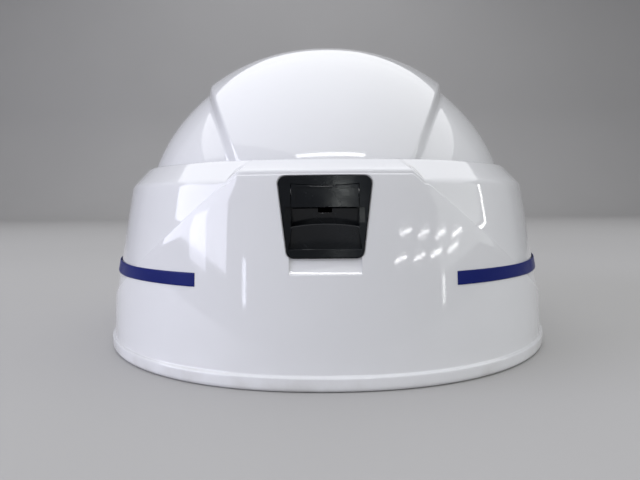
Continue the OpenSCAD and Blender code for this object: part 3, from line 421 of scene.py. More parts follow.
class Finishes:
    """All finishes, by record slot, with CAD nodes dressed in them."""

    def __init__(self) -> None:
        """Builds every material once."""
        near_black, worn_black = (0.0034, 0.0044, 0.0060), (0.022, 0.026, 0.03)
        recipes: dict[Slot, Any] = {
            Slot.WHITE: Plastic((0.80, 0.805, 0.825), (0.76, 0.765, 0.785), roughness=0.055, smudge=0.05,
                                grain=210.0, grain_depth=0.0000035, marks=0.10, coat=0.35,
                                dust=(0.46, 0.44, 0.40)),
            Slot.LATCH: Plastic(near_black, worn_black, roughness=0.17, smudge=0.2, grain=900.0,
                                grain_depth=0.000012, marks=0.6, specular=0.34),
            Slot.BLACK: Plastic((0.016, 0.016, 0.018), (0.05, 0.05, 0.052), roughness=0.42, smudge=0.15,
                                grain=2400.0, grain_depth=0.00003, marks=0.4),
            Slot.GREY: Plastic((0.34, 0.35, 0.37), (0.42, 0.43, 0.45), roughness=0.38, smudge=0.12,
                               grain=1500.0, grain_depth=0.00002, marks=0.3),
            Slot.TAPE: Plastic((0.0035, 0.010, 0.125), (0.012, 0.022, 0.19), roughness=0.32, smudge=0.14,
                               grain=420.0, grain_depth=0.00001, marks=0.35, specular=0.1),
            Slot.LINER: BeadFoam((0.68, 0.68, 0.67), (0.48, 0.48, 0.48)),
            Slot.PAD: Knit((0.012, 0.012, 0.014), (0.085, 0.087, 0.095)),
            Slot.WEBBING: Webbing((0.010, 0.010, 0.012), (0.075, 0.076, 0.082)),
            Slot.STEEL: Metal((0.62, 0.62, 0.63), (0.42, 0.41, 0.38), 0.26),
            Slot.SPRING: Metal((0.52, 0.52, 0.54), (0.36, 0.34, 0.31), 0.34),
        }
        self.materials = {slot: recipe.material(slot.value) for slot, recipe in recipes.items()}
        for part in frame["record"]["subparts"]:
            node = frame["nodes"][part["node"]]
            node.data.materials.clear()
            node.data.materials.append(self.materials[Slot(part["material_slot"])])

    def dress(self, piece: Any, slot: Slot) -> None:
        """Gives a new piece its finish and names its slot.

        Args:
            piece: the piece.
            slot: the slot of its finish.
        """
        piece.data.materials.clear()
        piece.data.materials.append(self.materials[slot])

    def fit(self, piece: Any, slot: Slot, body: str, node: str) -> Any:
        """Dresses a rigid piece, sets it on its body and hides the CAD node that it stands for.

        Args:
            piece, slot: the piece and its finish's slot.
            body, node: the body that it rides on, and the CAD node.
        Returns:
            The same piece.
        """
        self.dress(piece, slot)
        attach(piece, body)
        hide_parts(node)
        return piece


# Mesh making


@dataclass
class Grid:
    """Rows and columns of points, open or closed either way, with an optional UV map.

    along holds a place for each row and across one for each column edge, in metres.
    """

    points: Array
    loop_rows: bool = False
    loop_columns: bool = False
    along: Array | None = None
    across: Array | None = None

    def faces(self) -> tuple[Array, Array]:
        """Corner numbers of each face and, for each corner, its row and column edge.

        Returns:
            The corner numbers, shaped (faces, 4), and the rows and columns, shaped (faces, 4, 2).
        """
        rows, columns = self.points.shape[:2]
        r, c = np.meshgrid(np.arange(rows if self.loop_rows else rows - 1),
                           np.arange(columns if self.loop_columns else columns - 1), indexing="ij")
        r, c = r.ravel(), c.ravel()
        corner_r = np.stack([r, r, r + 1, r + 1], axis=1)
        corner_c = np.stack([c, c + 1, c + 1, c], axis=1)
        numbers = (corner_r % rows) * columns + corner_c % columns
        return numbers, np.stack([corner_r, corner_c], axis=2)


@dataclass
class Piece:
    """Collects grids in millimetres and makes one mesh object of them."""

    name: str
    grids: list[Grid] = field(default_factory=list)

    def add(self, points: Array, loop_rows: bool = False, loop_columns: bool = False,
            along: Array | None = None, across: Array | None = None) -> "Piece":
        """Adds one grid."""
        self.grids.append(Grid(np.asarray(points, float), loop_rows, loop_columns, along, across))
        return self

    def build(self, sharp: float = 35.0, weld: float = WELD, smooth: bool = True) -> Any:
        """Makes the object.

        Args:
            sharp: edges that turn by more than this many degrees are sharp.
            weld: points closer than this, in metres, become one.
            smooth: whether faces are shaded smooth.
        Returns:
            The mesh object, with its faces outwards.
        """
        points, faces, uvs, start = [], [], [], 0
        for grid in self.grids:
            numbers, corners = grid.faces()
            points.append(grid.points.reshape(-1, 3))
            faces.append(numbers + start)
            start += grid.points.shape[0] * grid.points.shape[1]
            if grid.along is None:
                uvs.append(np.zeros((len(numbers), 4, 2)))
            else:
                uvs.append(np.stack([grid.along[corners[..., 0]], grid.across[corners[..., 1]]], axis=2))
        mesh = bpy.data.meshes.new(self.name)
        mesh.from_pydata(np.concatenate(points) * MM, [], np.concatenate(faces))
        mesh.uv_layers.new(name="ribbon").data.foreach_set("uv", np.concatenate(uvs).ravel())
        closed_mesh(mesh, weld)
        if smooth:
            shaded(mesh, sharp)
        return linked(self.name, mesh)


def linked(name: str, data: Any) -> Any:
    """New object of a mesh, camera or lamp, in the scene.

    Args:
        name: the object's name.
        data: what it shows.
    Returns:
        The object.
    """
    made = bpy.data.objects.new(name, data)
    bpy.context.scene.collection.objects.link(made)
    return made


def shaded(mesh: Any, sharp: float) -> None:
    """Shades a mesh smooth, but for edges that turn by more than the given degrees."""
    mesh.shade_smooth()
    mesh.set_sharp_from_angle(angle=radians(sharp))


def closed_mesh(mesh: Any, weld: float) -> None:
    """Welds doubles, drops faces without area and points the faces outwards.

    Args:
        mesh: the mesh.
        weld: points closer than this, in metres, become one.
    """
    work = bmesh.new()
    work.from_mesh(mesh)
    bmesh.ops.remove_doubles(work, verts=work.verts, dist=weld)
    bmesh.ops.dissolve_degenerate(work, edges=work.edges, dist=weld)
    bmesh.ops.recalc_face_normals(work, faces=work.faces)
    work.to_mesh(mesh)
    work.free()


def baked(piece: Any) -> Any:
    """Applies a piece's modifiers.

    Args:
        piece: the piece.
    Returns:
        The same piece.
    """
    depsgraph = bpy.context.evaluated_depsgraph_get()
    mesh = bpy.data.meshes.new_from_object(piece.evaluated_get(depsgraph), depsgraph=depsgraph)
    piece.modifiers.clear()
    old = piece.data
    piece.data = mesh
    bpy.data.meshes.remove(old)
    mesh.name = piece.name
    return piece


def joined(name: str, pieces: Sequence[Any]) -> Any:
    """One object of several, which are removed.

    Args:
        name: the new object's name.
        pieces: the objects that it is made of.
    Returns:
        The new object.
    """
    work = bmesh.new()
    work.loops.layers.uv.new("ribbon")
    for piece in pieces:
        work.from_mesh(piece.data)
    mesh = bpy.data.meshes.new(name)
    work.to_mesh(mesh)
    work.free()
    for material in pieces[0].data.materials:
        mesh.materials.append(material)
    for piece in pieces:
        bpy.data.objects.remove(piece)
    return linked(name, mesh)


def mirrored(points: Array) -> Array:
    """The same points on the other side, with columns turned so that faces stay outwards."""
    return points[:, ::-1] * OTHER_SIDE


def capped(rows: Array) -> Array:
    """Rows of a closed outline, with one more at each end in which every point is the end's middle."""
    first, last = (np.broadcast_to(row.mean(axis=0), row.shape)[None] for row in (rows[0], rows[-1]))
    return np.concatenate([first, rows, last])


def length_of(vectors: Array) -> Array:
    """Lengths along the last axis, kept as an axis."""
    return np.maximum(np.linalg.norm(vectors, axis=-1, keepdims=True), TINY)


def unit(vectors: Array) -> Array:
    """Vectors brought to length 1."""
    return vectors / length_of(vectors)


def mix(a: Any, b: Any, share: Any) -> Any:
    """Straight mix of two values."""
    return a + (b - a) * share


def smooth_step(share: Array) -> Array:
    """The curve 3s^2 - 2s^3, from 0 to 1 with level ends, of a share that is kept in that range."""
    s = np.clip(share, 0, 1)
    return s**2 * (3 - 2 * s)


def rounded_profile(profile: Sequence[tuple[Array, float, int]], arc: int = 6, closed: bool = True,
                    most: float = 0.46) -> Array:
    """Rounds the corners of many profiles at once.

    Each corner P becomes the arc ((1-s)^2 A + 2s(1-s) w P + s^2 B) over the sum of its weights, with
    A and B on its two sides at the corner's reach and w the sine of half the angle there.

    Args:
        profile: corners, each with its place in C profiles, shaped (C, 3), its rounding's reach along
            its sides, and the number of points between it and the next corner.
        arc: points on each rounded corner.
        closed: whether the last corner joins the first; if not, both stay sharp ends.
        most: the largest share of a side that a rounding takes up.
    Returns:
        Rows of points, shaped (R, C, 3).
    """
    corners = np.stack([corner for corner, _, _ in profile])
    reach = np.array([size for _, size, _ in profile], float)[:, None, None]
    back = np.roll(corners, 1, axis=0) - corners
    ahead = np.roll(corners, -1, axis=0) - corners
    size = np.minimum(reach, most * np.minimum(length_of(back), length_of(ahead)))
    u, v = unit(back), unit(ahead)
    weight = np.sqrt(np.clip((1 - np.sum(u * v, axis=-1, keepdims=True)) / 2, 0, 1))
    first, last = corners + u * size, corners + v * size
    s = np.linspace(0, 1, arc)[:, None, None]
    rows: list[Array] = []
    count = len(corners)
    for k, (_, _, run) in enumerate(profile):
        if not closed and k in (0, count - 1):
            start, end = corners[k][None], corners[k]
        else:
            share = 2 * s * (1 - s) * weight[k]
            curve = (1 - s) ** 2 * first[k] + share * corners[k] + s**2 * last[k]
            start, end = curve / ((1 - s) ** 2 + s**2 + share), last[k]
        rows.append(start)
        if k < count - 1 or closed:
            following = (k + 1) % count
            far = corners[following] if not closed and following == count - 1 else first[following]
            steps = np.arange(1, run + 1) / (run + 1)
            rows.append(mix(end[None], far[None], steps[:, None, None]))
    return np.concatenate(rows)


# Solids from outlines


def solid_of(name: str, rings: Array) -> Any:
    """Closed solid through rings of points, with flat ends.

    Args:
        name: the object's name.
        rings: equal rings in millimetres, shaped (rings, sides, 3).
    Returns:
        The solid.
    """
    count, sides = rings.shape[:2]
    side_faces = Grid(rings, False, True).faces()[0].tolist()
    ends = [list(range(sides)), list(range((count - 1) * sides, count * sides))]
    mesh = bpy.data.meshes.new(name)
    mesh.from_pydata(rings.reshape(-1, 3) * MM, [], side_faces + ends)
    closed_mesh(mesh, FINE_WELD)
    return linked(name, mesh)


def block(low: Sequence[float], high: Sequence[float], place: PointMap) -> Any:
    """Box between two local corners; place turns local points into the helmet's frame."""
    x, y, z = (np.array([a, b]) for a, b in zip(low, high))
    ring = np.stack([x[[0, 1, 1, 0]], y[[0, 0, 0, 0]], z[[0, 0, 1, 1]]], axis=1)
    return solid_of("block", place(np.stack([ring, ring + np.array([0.0, y[1] - y[0], 0.0])])))


def prism(outline: Array, start: float, end: float, place: PointMap) -> Any:
    """Solid of an outline (side, height) between two depths."""
    rings = [np.stack([outline[:, 0], np.full(len(outline), y), outline[:, 1]], axis=1) for y in (start, end)]
    return solid_of("prism", place(np.stack(rings)))


def rod(centre: Sequence[float], along: int, reach: tuple[float, float], radius: float,
        place: PointMap, sides: int = 40) -> Any:
    """Cylinder along one local axis.

    Args:
        centre, radius: a local point on its axis, and its radius.
        along, reach: number of the axis that it lies along, and its two ends there.
        place: turns local points into the helmet's frame.
        sides: its number of sides.
    Returns:
        The cylinder.
    """
    angle = np.linspace(0, 2 * pi, sides, endpoint=False)
    rings = np.tile(np.asarray(centre, float), (2, sides, 1))
    first, second = [axis for axis in range(3) if axis != along]
    rings[..., first] += radius * np.cos(angle)
    rings[..., second] += radius * np.sin(angle)
    rings[..., along] = np.array(reach)[:, None]
    return solid_of("rod", place(rings))


def carved(target: Any, tools: Sequence[Any], how: str = "DIFFERENCE") -> Any:
    """Combines closed solids into the first one and removes the others.

    Args:
        target: the solid that is changed.
        tools: the other solids.
        how: the Boolean modifier's operation.
    Returns:
        The first solid.
    """
    for tool in tools:
        step = target.modifiers.new("carve", "BOOLEAN")
        step.operation = how
        step.solver = "MANIFOLD"
        step.object = tool
    baked(target)
    for tool in tools:
        bpy.data.objects.remove(tool)
    return target


def rounded_edges(piece: Any, width: float, segments: int = 3, angle: float = 30.0,
                  merge: bool = True) -> Any:
    """Rounds a solid's edges and evens its shading.

    Args:
        piece: the solid.
        width, segments: millimetres and faces across each rounding.
        angle: edges that turn by more than this many degrees are rounded.
        merge: whether flat faces are merged first, which a ring can't take.
    Returns:
        The same solid.
    """
    work = bmesh.new()
    work.from_mesh(piece.data)
    bmesh.ops.remove_doubles(work, verts=work.verts, dist=WELD)
    if merge:
        bmesh.ops.dissolve_limit(work, angle_limit=radians(FLAT_TURN), verts=work.verts, edges=work.edges)
    work.to_mesh(piece.data)
    work.free()
    bevel = piece.modifiers.new("round", "BEVEL")
    bevel.width = width * MM
    bevel.segments = segments
    bevel.limit_method = "ANGLE"
    bevel.angle_limit = radians(angle)
    bevel.miter_outer = "MITER_ARC"
    baked(piece)
    shaded(piece.data, angle)
    even = piece.modifiers.new("even", "WEIGHTED_NORMAL")
    even.keep_sharp = True
    return baked(piece)


def softened(node: str, width: float, segments: int = 3, merge: bool = True) -> Any:
    """Copy of a CAD node's mesh with its edges rounded; it stands for the node."""
    copy = linked("soft_" + node, frame["nodes"][node].data.copy())
    return rounded_edges(copy, width, segments, merge=merge)


def upright(points: Array) -> Array:
    """Local (side, depth, height) points are already in the helmet's frame."""
    return points


@dataclass(frozen=True)
class Superellipse:
    """Plan outlines |x/a|^n + |y/b|^n = 1."""

    power: float = 2.15

    def signed(self, c: Array) -> Array:
        """Signed power 2/n of a cosine or sine."""
        return np.sign(c) * np.abs(c) ** (2 / self.power)

    def at(self, t: Array, a: Array, b: Array) -> tuple[Array, Array]:
        """X and Y of the point of parameter t."""
        return a * self.signed(np.cos(t)), b * self.signed(np.sin(t))

    def y_at(self, x: Array, a: Array, b: Array) -> Array:
        """Half length of the outline at a distance x from its middle."""
        inside = np.clip(1 - np.clip(np.abs(x) / a, 0, 1) ** self.power, 0, 1)
        return b * inside ** (1 / self.power)

    def t_at(self, x: Array, a: Array) -> Array:
        """Parameter of the outline's point at a distance x from its middle."""
        return np.arccos(np.clip(np.abs(x) / a, 0, 1) ** (self.power / 2))

    def normals(self, xy: Array, a: float, b: float) -> Array:
        """Unit directions square to the outline through points shaped (N, 2)."""
        gradient = np.stack([np.sign(xy[:, 0]) * np.abs(xy[:, 0] / a) ** (self.power - 1) / a,
                             np.sign(xy[:, 1]) * np.abs(xy[:, 1] / b) ** (self.power - 1) / b], axis=1)
        return gradient / length_of(gradient)


PLAN = Superellipse()


@dataclass(frozen=True)
class Ellipsoid:
    """Upper surface ((|x/a|^n + |y/b|^n)^(p/n) + |z/c|^p = 1) above the dome's widest level.

    a, b and c are half_w, half_l and rise, n is the plan's power and p is the power of its side view.
    """

    half_w: float
    half_l: float
    rise: float
    power: float
    base_z: float = 65.0

    def level(self, z: Array | float) -> Array:
        """Share of the half width that is left at height z."""
        share = np.clip((np.asarray(z, float) - self.base_z) / self.rise, 0, 1)
        return np.clip(1 - share**self.power, 0, 1) ** (1 / self.power)

    def onto(self, points: Array) -> Array:
        """Moves points onto the surface: each ray is divided by the p-th root of the equation's left side.

        Args:
            points: the points, in millimetres.
        Returns:
            Points of the surface.
        """
        centre = UP * self.base_z
        ray = points - centre
        n, p = PLAN.power, self.power
        plan = (np.abs(ray[..., 0] / self.half_w) ** n + np.abs(ray[..., 1] / self.half_l) ** n) ** (p / n)
        size = (plan + np.abs(ray[..., 2] / self.rise) ** p) ** (1 / p)
        return ray / size[..., None] + centre

    def point(self, t: Array, z: Array) -> Array:
        """Points of the surface: the plan outline at t, shrunk by the share that is left at height z."""
        k = self.level(z)
        x, y = PLAN.at(t, self.half_w * k, self.half_l * k)
        return np.stack(np.broadcast_arrays(x, y, z), axis=-1)

    def inset(self, depth: float) -> "Ellipsoid":
        """The surface that lies the given depth inside."""
        return Ellipsoid(self.half_w - depth, self.half_l - depth, self.rise - depth, self.power, self.base_z)


@dataclass(frozen=True)
class LatchPlace:
    """Local frame of a latch on the leaning front or rear face."""

    rear: bool
    lean: float = 0.12
    face_y: float = 129.8
    mid_z: float = 60.0

    def to_object(self, points: Array) -> Array:
        """Turns local points (side, depth, height) into the helmet's frame.

        Args:
            points: local points, in millimetres.
        Returns:
            The points, turned by the lean and moved.
        """
        angle = -atan(self.lean)
        y = points[..., 1]
        z = points[..., 2] - self.mid_z
        out_y = y * cos(angle) - z * sin(angle) - self.face_y
        out_z = y * sin(angle) + z * cos(angle) + self.mid_z
        sign = -1.0 if self.rear else 1.0
        return np.stack([points[..., 0] * sign, out_y * sign, out_z], axis=-1)


@dataclass
class BaseShell:
    """White base shell: bead, leaning wall with a crease on each side, shoulder and collar.

    columns_per counts columns from the side to the crease, over its corners, and to the front's middle.
    window_steps pairs how much the window's cutter grows with its depth, from the outside in.
    """

    finishes: Finishes
    half_w: float = 107.0
    half_l: float = 137.0
    front_lean: float = 0.12
    side_lean: float = 0.02
    panel_lean: float = 0.137
    wall: float = 2.5
    side_rim: float = 72.0
    front_rim: float = 75.6
    rim_h: float = 0.45
    panel_half_w: float = 36.0
    crease_top: float = 72.3
    crease_slope: float = 0.8
    crease_drop: float = 1.2
    crease_h: float = 0.12
    ledge: float = 0.5
    bead_h: float = 5.0
    bead_out: float = 1.2
    bead_slope: float = 0.35
    collar_z: float = 80.5
    collar_t: float = 2.5
    collar_half: tuple[float, float] = (88.8, 116.3)
    collar_out: float = 1.3
    columns_per: tuple[int, ...] = (110, 4, 10, 40)
    window_gap: float = 0.3
    window_steps: tuple[tuple[float, float], ...] = ((2.4, -2.0), (0.5, -0.1), (0.0, 0.4), (0.0, 9.0))
    sharp: float = 32.0

    def crease(self, x: Array | float) -> Array:
        """Height of the crease line at a distance x from the middle."""
        return self.crease_top - self.crease_slope * (np.abs(x) - self.panel_half_w)

    def rim(self, x: Array) -> Array:
        """Height of the rim at a distance x from the middle."""
        return np.minimum(self.front_rim, np.maximum(self.side_rim, self.crease(x)))

    def sag(self, side: Array) -> Array:
        """How far the end of the plan outline has curved back at a distance from its middle."""
        return self.half_l - PLAN.y_at(side, self.half_w, self.half_l)

    def point(self, t: Array, z: Array | float, inset: Array | float = 0.0) -> Array:
        """Points of the wall: the plan outline shrinks with height, and more above the crease.

        Args:
            t, z: parameters round the plan outline, and heights.
            inset: how far inside the wall's outer face the points lie.
        Returns:
            The points.
        """
        x = self.half_w * np.abs(PLAN.signed(np.cos(t)))
        depth = self.panel_lean * np.maximum(0, z - self.crease(x)) + inset
        half_w, half_l = self.half_w - self.side_lean * z, self.half_l - self.front_lean * z
        px, py = PLAN.at(t, half_w - depth, half_l - depth)
        return np.stack(np.broadcast_arrays(px, py, z), axis=-1)

    def collar_point(self, t: Array, z: float, grow: float) -> Array:
        """Points of the collar's outlines."""
        x, y = PLAN.at(t, self.collar_half[0] + grow, self.collar_half[1] + grow)
        return np.stack(np.broadcast_arrays(x, y, z), axis=-1)

    def columns(self) -> Array:
        """Parameters round the whole outline, crowded at the corners of the front panel.

        Returns:
            The parameters.
        """
        high = self.panel_half_w - (self.front_rim - self.crease_top) / self.crease_slope
        low = self.panel_half_w + (self.crease_top - self.side_rim) / self.crease_slope
        stops = [0.0, *(PLAN.t_at(x, self.half_w) for x in (low, self.panel_half_w, high)), pi / 2]
        quarter = np.concatenate([np.linspace(start, end, count, endpoint=False)
                                  for start, end, count in zip(stops, stops[1:], self.columns_per)])
        half = np.concatenate([quarter, [pi / 2], pi - quarter[:0:-1]])
        return np.concatenate([half, half + pi])

    def shell(self) -> Any:
        """The shell itself: one ring of rounded profiles, up the outside and down the inside.

        Returns:
            The shell, without its windows.
        """
        t = self.columns()
        x = self.half_w * np.abs(PLAN.signed(np.cos(t)))
        rim = self.rim(x)
        bend = np.minimum(self.crease(x), rim - self.crease_drop)
        inner = rim - self.wall
        inner_bend = np.minimum(bend, inner - self.wall)
        rows = rounded_profile([
            (self.point(t, 0.0, self.wall), 0.7, 1),
            (self.point(t, 0.0, -self.bead_out), 1.7, 2),
            (self.point(t, self.bead_h, -self.bead_out), 1.6, 0),
            (self.point(t, self.bead_h + self.bead_slope), 0.5, 9),
            (self.point(t, bend), 0.35, 0),
            (self.point(t, bend + self.crease_h, self.ledge), 0.35, 3),
            (self.point(t, rim + self.rim_h, self.ledge), 1.5, 5),
            (self.collar_point(t, self.collar_z, self.collar_out), 0.9, 0),
            (self.collar_point(t, self.collar_z, 0.0), 0.5, 1),
            (self.collar_point(t, self.collar_z - self.collar_t, 0.0), 0.6, 5),
            (self.point(t, inner, self.wall), 1.5, 4),
            (self.point(t, inner_bend, self.wall), 2.0, 8)])
        return Piece("base_shell").add(rows, True, True).build()

    def cutter(self, rows: Array, rear: bool) -> Any:
        """Closed cutter through rows of local points at the front or rear face."""
        return Piece("cutter").add(LatchPlace(rear).to_object(capped(rows)), False, True).build(smooth=False)

    def window(self, rear: bool) -> Any:
        """Cutter of the latch's window, swept inwards and following the face's curve.

        Args:
            rear: whether it cuts the rear face.
        Returns:
            The cutter.
        """
        outline = latch_outline(self.window_gap)
        way = unit(outline - outline.mean(axis=0))
        rings = []
        for grow, depth in self.window_steps:
            side, height = (outline + way * grow).T
            rings.append(np.stack([side, depth + self.sag(side), height], axis=1))
        return self.cutter(np.stack(rings), rear)

    def recess(self, rear: bool) -> Any:
        """Cutter of the shallow recess under the latch: a wedge that follows the face's curve.

        Args:
            rear: whether it cuts the rear face.
        Returns:
            The cutter.
        """
        half, low, high, depth, edge, outside = 12.7, 39.4, 46.5, 1.2, 0.45, -2.0
        side = np.linspace(-half, half, 25)[:, None]
        height = np.array([low, low, low + edge, high, high])
        sinks = np.array([outside, 0.05, 0.32, depth, outside])
        rows = np.stack(np.broadcast_arrays(side, sinks + self.sag(side), height), axis=-1)
        return self.cutter(rows, rear)

    def build(self) -> list[Any]:
        """Builds, cuts and dresses the shell.

        Returns:
            The shell.
        """
        shell = self.shell()
        carved(shell, [cut(rear) for rear in (False, True) for cut in (self.window, self.recess)])
        shaded(shell.data, self.sharp)
        return [self.finishes.fit(shell, Slot.WHITE, "base", "lower_shell")]


def arc_points(centre: Array, radius: float, start: float, end: float, count: int) -> Array:
    """Points of a circular arc in a plane, with angles in degrees."""
    angle = np.radians(np.linspace(start, end, count))
    return centre + radius * np.stack([np.cos(angle), np.sin(angle)], axis=1)


def latch_outline(grow: float, top: float = 74.0, bottom: float = 45.5, top_w: float = 33.2,
                  bottom_w: float = 26.0, corner: float = 2.4, count: int = 9, step: float = 1.2) -> Array:
    """Trapezoid with rounded corners, as side and height, grown all round.

    Each corner's arc has its centre where both sides are a radius away.

    Args:
        grow: how far it is grown.
        top, bottom, top_w, bottom_w: heights and widths of its upper and lower side.
        corner: radius of its corners before it is grown.
        count, step: points on each corner's arc, and their longest distance elsewhere.
    Returns:
        The points, shaped (N, 2).
    """
    corners = np.array([[top_w / 2 + grow, top + grow], [-top_w / 2 - grow, top + grow],
                        [-bottom_w / 2 - grow, bottom - grow], [bottom_w / 2 + grow, bottom - grow]])
    radius = corner + grow
    rows = []
    for p, a, b in zip(corners, np.roll(corners, 1, axis=0), np.roll(corners, -1, axis=0)):
        u, v = unit(a - p), unit(b - p)
        half = np.arccos(float(u @ v)) / 2
        centre = p + unit(u + v) * radius / sin(half)
        first, last = p + u * radius / tan(half) - centre, p + v * radius / tan(half) - centre
        start = np.degrees(np.arctan2(first[1], first[0]))
        turn = (np.degrees(np.arctan2(last[1], last[0])) - start + 180) % 360 - 180
        rows.append(arc_points(centre, radius, start, start + turn, count))
    outline = np.concatenate(rows)
    following = np.roll(outline, -1, axis=0)
    shares = [max(2, int(reach / step) + 1) for reach in length_of(following - outline)[:, 0]]
    return np.concatenate([np.linspace(start, end, share, endpoint=False)
                           for start, end, share in zip(outline, following, shares)])


@dataclass
class Dome:
    """White dome with a raised band from front to rear, and the foam liner inside it."""

    finishes: Finishes
    side: Ellipsoid = Ellipsoid(90.0, 115.8, 78.0, 1.8)
    band: Ellipsoid = Ellipsoid(89.0, 117.3, 78.5, 1.97)
    edge_w: float = 36.4
    edge_z: float = 78.3
    flare: float = 0.36
    curve: float = 0.0036
    step_run: float = 3.9
    lip_run: float = 2.6
    foot_round: float = 1.9
    lip_round: float = 2.2
    wall: float = 3.0
    low_z: float = 75.2
    flange_out: float = 2.0
    flange_top: float = 74.8
    flange_low: float = 71.4
    flange_slope: float = 0.4
    skirt_z: float = 68.2
    liner_t: float = 12.0
    liner_z: float = 101.0
    gap: float = 0.3
    columns: int = 181
    side_rows: int = 26
    top_rows: int = 64
    lining_rows: int = 34
    liner_columns: int = 160

    def edge(self, z: Array | float) -> Array:
        """Half width of the raised band at height z."""
        h = z - self.edge_z
        return self.edge_w + self.flare * h + self.curve * np.maximum(h, 0) ** 2

    def top_of(self, surface: Ellipsoid, run: float) -> float:
        """Finds where a surface gets as narrow as the band's edge, by halving the interval.

        Args:
            surface, run: the surface, and how far inside the band's edge the line lies.
        Returns:
            The height.
        """
        low, high = self.edge_z, surface.base_z + surface.rise
        for _ in range(40):
            z = (low + high) / 2
            if surface.half_w * float(surface.level(z)) > float(self.edge(z)) - run:
                low = z
            else:
                high = z
        return low

    def edge_line(self, surface: Ellipsoid, run: float, c: Array) -> Array:
        """The line on a surface that the band's edge follows; it falls with the square of c.

        Args:
            surface, run: the surface, and how far inside the band's edge the line lies.
            c: parameters from 1 at the front to -1 at the rear.
        Returns:
            The line's points.
        """
        top = self.top_of(surface, run)
        z = top - (top - self.low_z) * c**2
        x = self.edge(z) - run
        k = surface.level(z)
        y = -np.sign(c) * PLAN.y_at(x, surface.half_w * k, surface.half_l * k)
        return np.stack([x, y, z], axis=-1)

    def right_half(self, c: Array) -> tuple[Array, Array]:
        """Plain side and step of the right half.

        Rows run straight from the rim to the step's foot and are moved onto the side's surface.

        Args:
            c: parameters from 1 at the front to -1 at the rear.
        Returns:
            Its rows, and the line where the raised band starts.
        """
        foot = self.edge_line(self.side, 0.0, c)
        lip = self.edge_line(self.band, self.step_run, c)
        k = float(self.side.level(self.low_z))
        t0 = float(PLAN.t_at(self.edge(self.low_z), self.side.half_w * k))
        rim = self.side.point(-t0 * c, np.full_like(c, self.low_z))
        near = self.side.onto(mix(foot, rim, np.clip(self.lip_run / length_of(rim - foot), 0.0, 0.5)))
        far = self.band.onto(lip + np.array([-self.lip_run, 0, 0]))
        share = np.linspace(0, 1, self.side_rows)[:, None, None]
        plain = self.side.onto(mix(rim[None], near[None], share))
        step = rounded_profile([(near, 0, 1), (foot, self.foot_round, 3),
                                (lip, self.lip_round, 1), (far, 0, 0)], 8, closed=False)
        return np.concatenate([plain, step[1:]]), far

    def cap(self) -> Array:
        """The outer surface, rows from side to side: the halves with the raised band between them.

        Returns:
            The surface, with columns from front to rear.
        """
        right, far = self.right_half(np.cos(np.linspace(0, pi, self.columns)))
        share = np.linspace(0, 1, self.top_rows)[1:-1, None, None]
        middle = self.band.onto(mix(far[None], (far * OTHER_SIDE)[None], share))
        return np.concatenate([right, middle, right[::-1] * OTHER_SIDE])

    def shell(self) -> Any:
        """The dome's closed shell: cap, stop flange, skirt and inner surface.

        Returns:
            The shell.
        """
        cap = self.cap()
        loop = np.concatenate([cap[0, :-1], cap[:-1, -1], cap[-1, :0:-1], cap[:0:-1, 0]])
        way = np.zeros_like(loop)
        way[:, :2] = PLAN.normals(loop[:, :2], self.side.half_w, self.side.half_l)

        def ring(out: float, z: float) -> Array:
            """The bottom loop moved outwards and to a height."""
            moved = loop + way * out
            return np.concatenate([moved[:, :2], np.full((len(loop), 1), z)], axis=1)

        skirt = rounded_profile([
            (loop, 0, 1),
            (ring(0.0, self.flange_top + 0.15), 0.2, 1),
            (ring(self.flange_out, self.flange_top), 0.5, 1),
            (ring(self.flange_out, self.flange_low), 0.5, 1),
            (ring(0.0, self.flange_low - self.flange_slope), 0.4, 1),
            (ring(0.0, self.skirt_z), 0.6, 1),
            (ring(-self.wall, self.skirt_z), 0.6, 1),
            (ring(-self.wall, self.low_z + 1.0), 0, 1)], 4, closed=False)
        lining = self.side.inset(self.wall)
        pole = UP * (lining.base_z + lining.rise)
        share = np.linspace(0, 1, self.lining_rows)[:, None, None]
        inner = lining.onto(mix(skirt[-1][None], pole[None, None], share))
        piece = Piece("dome_shell").add(cap).add(skirt, False, True)
        piece.add(np.concatenate([skirt[-1:], inner[1:]]), False, True)
        return piece.build(sharp=38, weld=SEAM_WELD)

    def liner(self) -> Any:
        """Foam liner: two nested surfaces joined by a rounded lower edge.

        Returns:
            The liner.
        """
        outer = self.side.inset(self.wall + self.gap)
        inner = self.side.inset(self.wall + self.gap + self.liner_t)
        t = np.linspace(0, 2 * pi, self.liner_columns, endpoint=False)
        low = np.full_like(t, self.liner_z)
        outer_round, inner_round = 2.2, 3.2

        def rows(surface: Ellipsoid, start: float, count: int) -> Array:
            """Rows from a height up to the pole, crowded at the top."""
            first = np.arcsin((start - surface.base_z) / surface.rise)
            z = surface.base_z + surface.rise * np.sin(np.linspace(first, pi / 2, count))
            return surface.point(t[None], z[:, None])

        out_rows = rows(outer, self.liner_z + outer_round, 34)
        in_rows = rows(inner, self.liner_z + inner_round, 30)
        rim = rounded_profile([(out_rows[0], 0, 0), (outer.point(t, low), 2.0, 6),
                               (inner.point(t, low), 3.0, 0), (in_rows[0], 0, 0)], 6, closed=False)
        points = np.concatenate([out_rows[:0:-1], rim, in_rows[1:]])
        return Piece("liner_foam").add(points, False, True).build(sharp=60)

    def build(self) -> list[Any]:
        """Builds and dresses the dome and its liner."""
        return [self.finishes.fit(self.shell(), Slot.WHITE, "dome", "upper_shell"),
                self.finishes.fit(self.liner(), Slot.LINER, "dome", "impact_liner")]


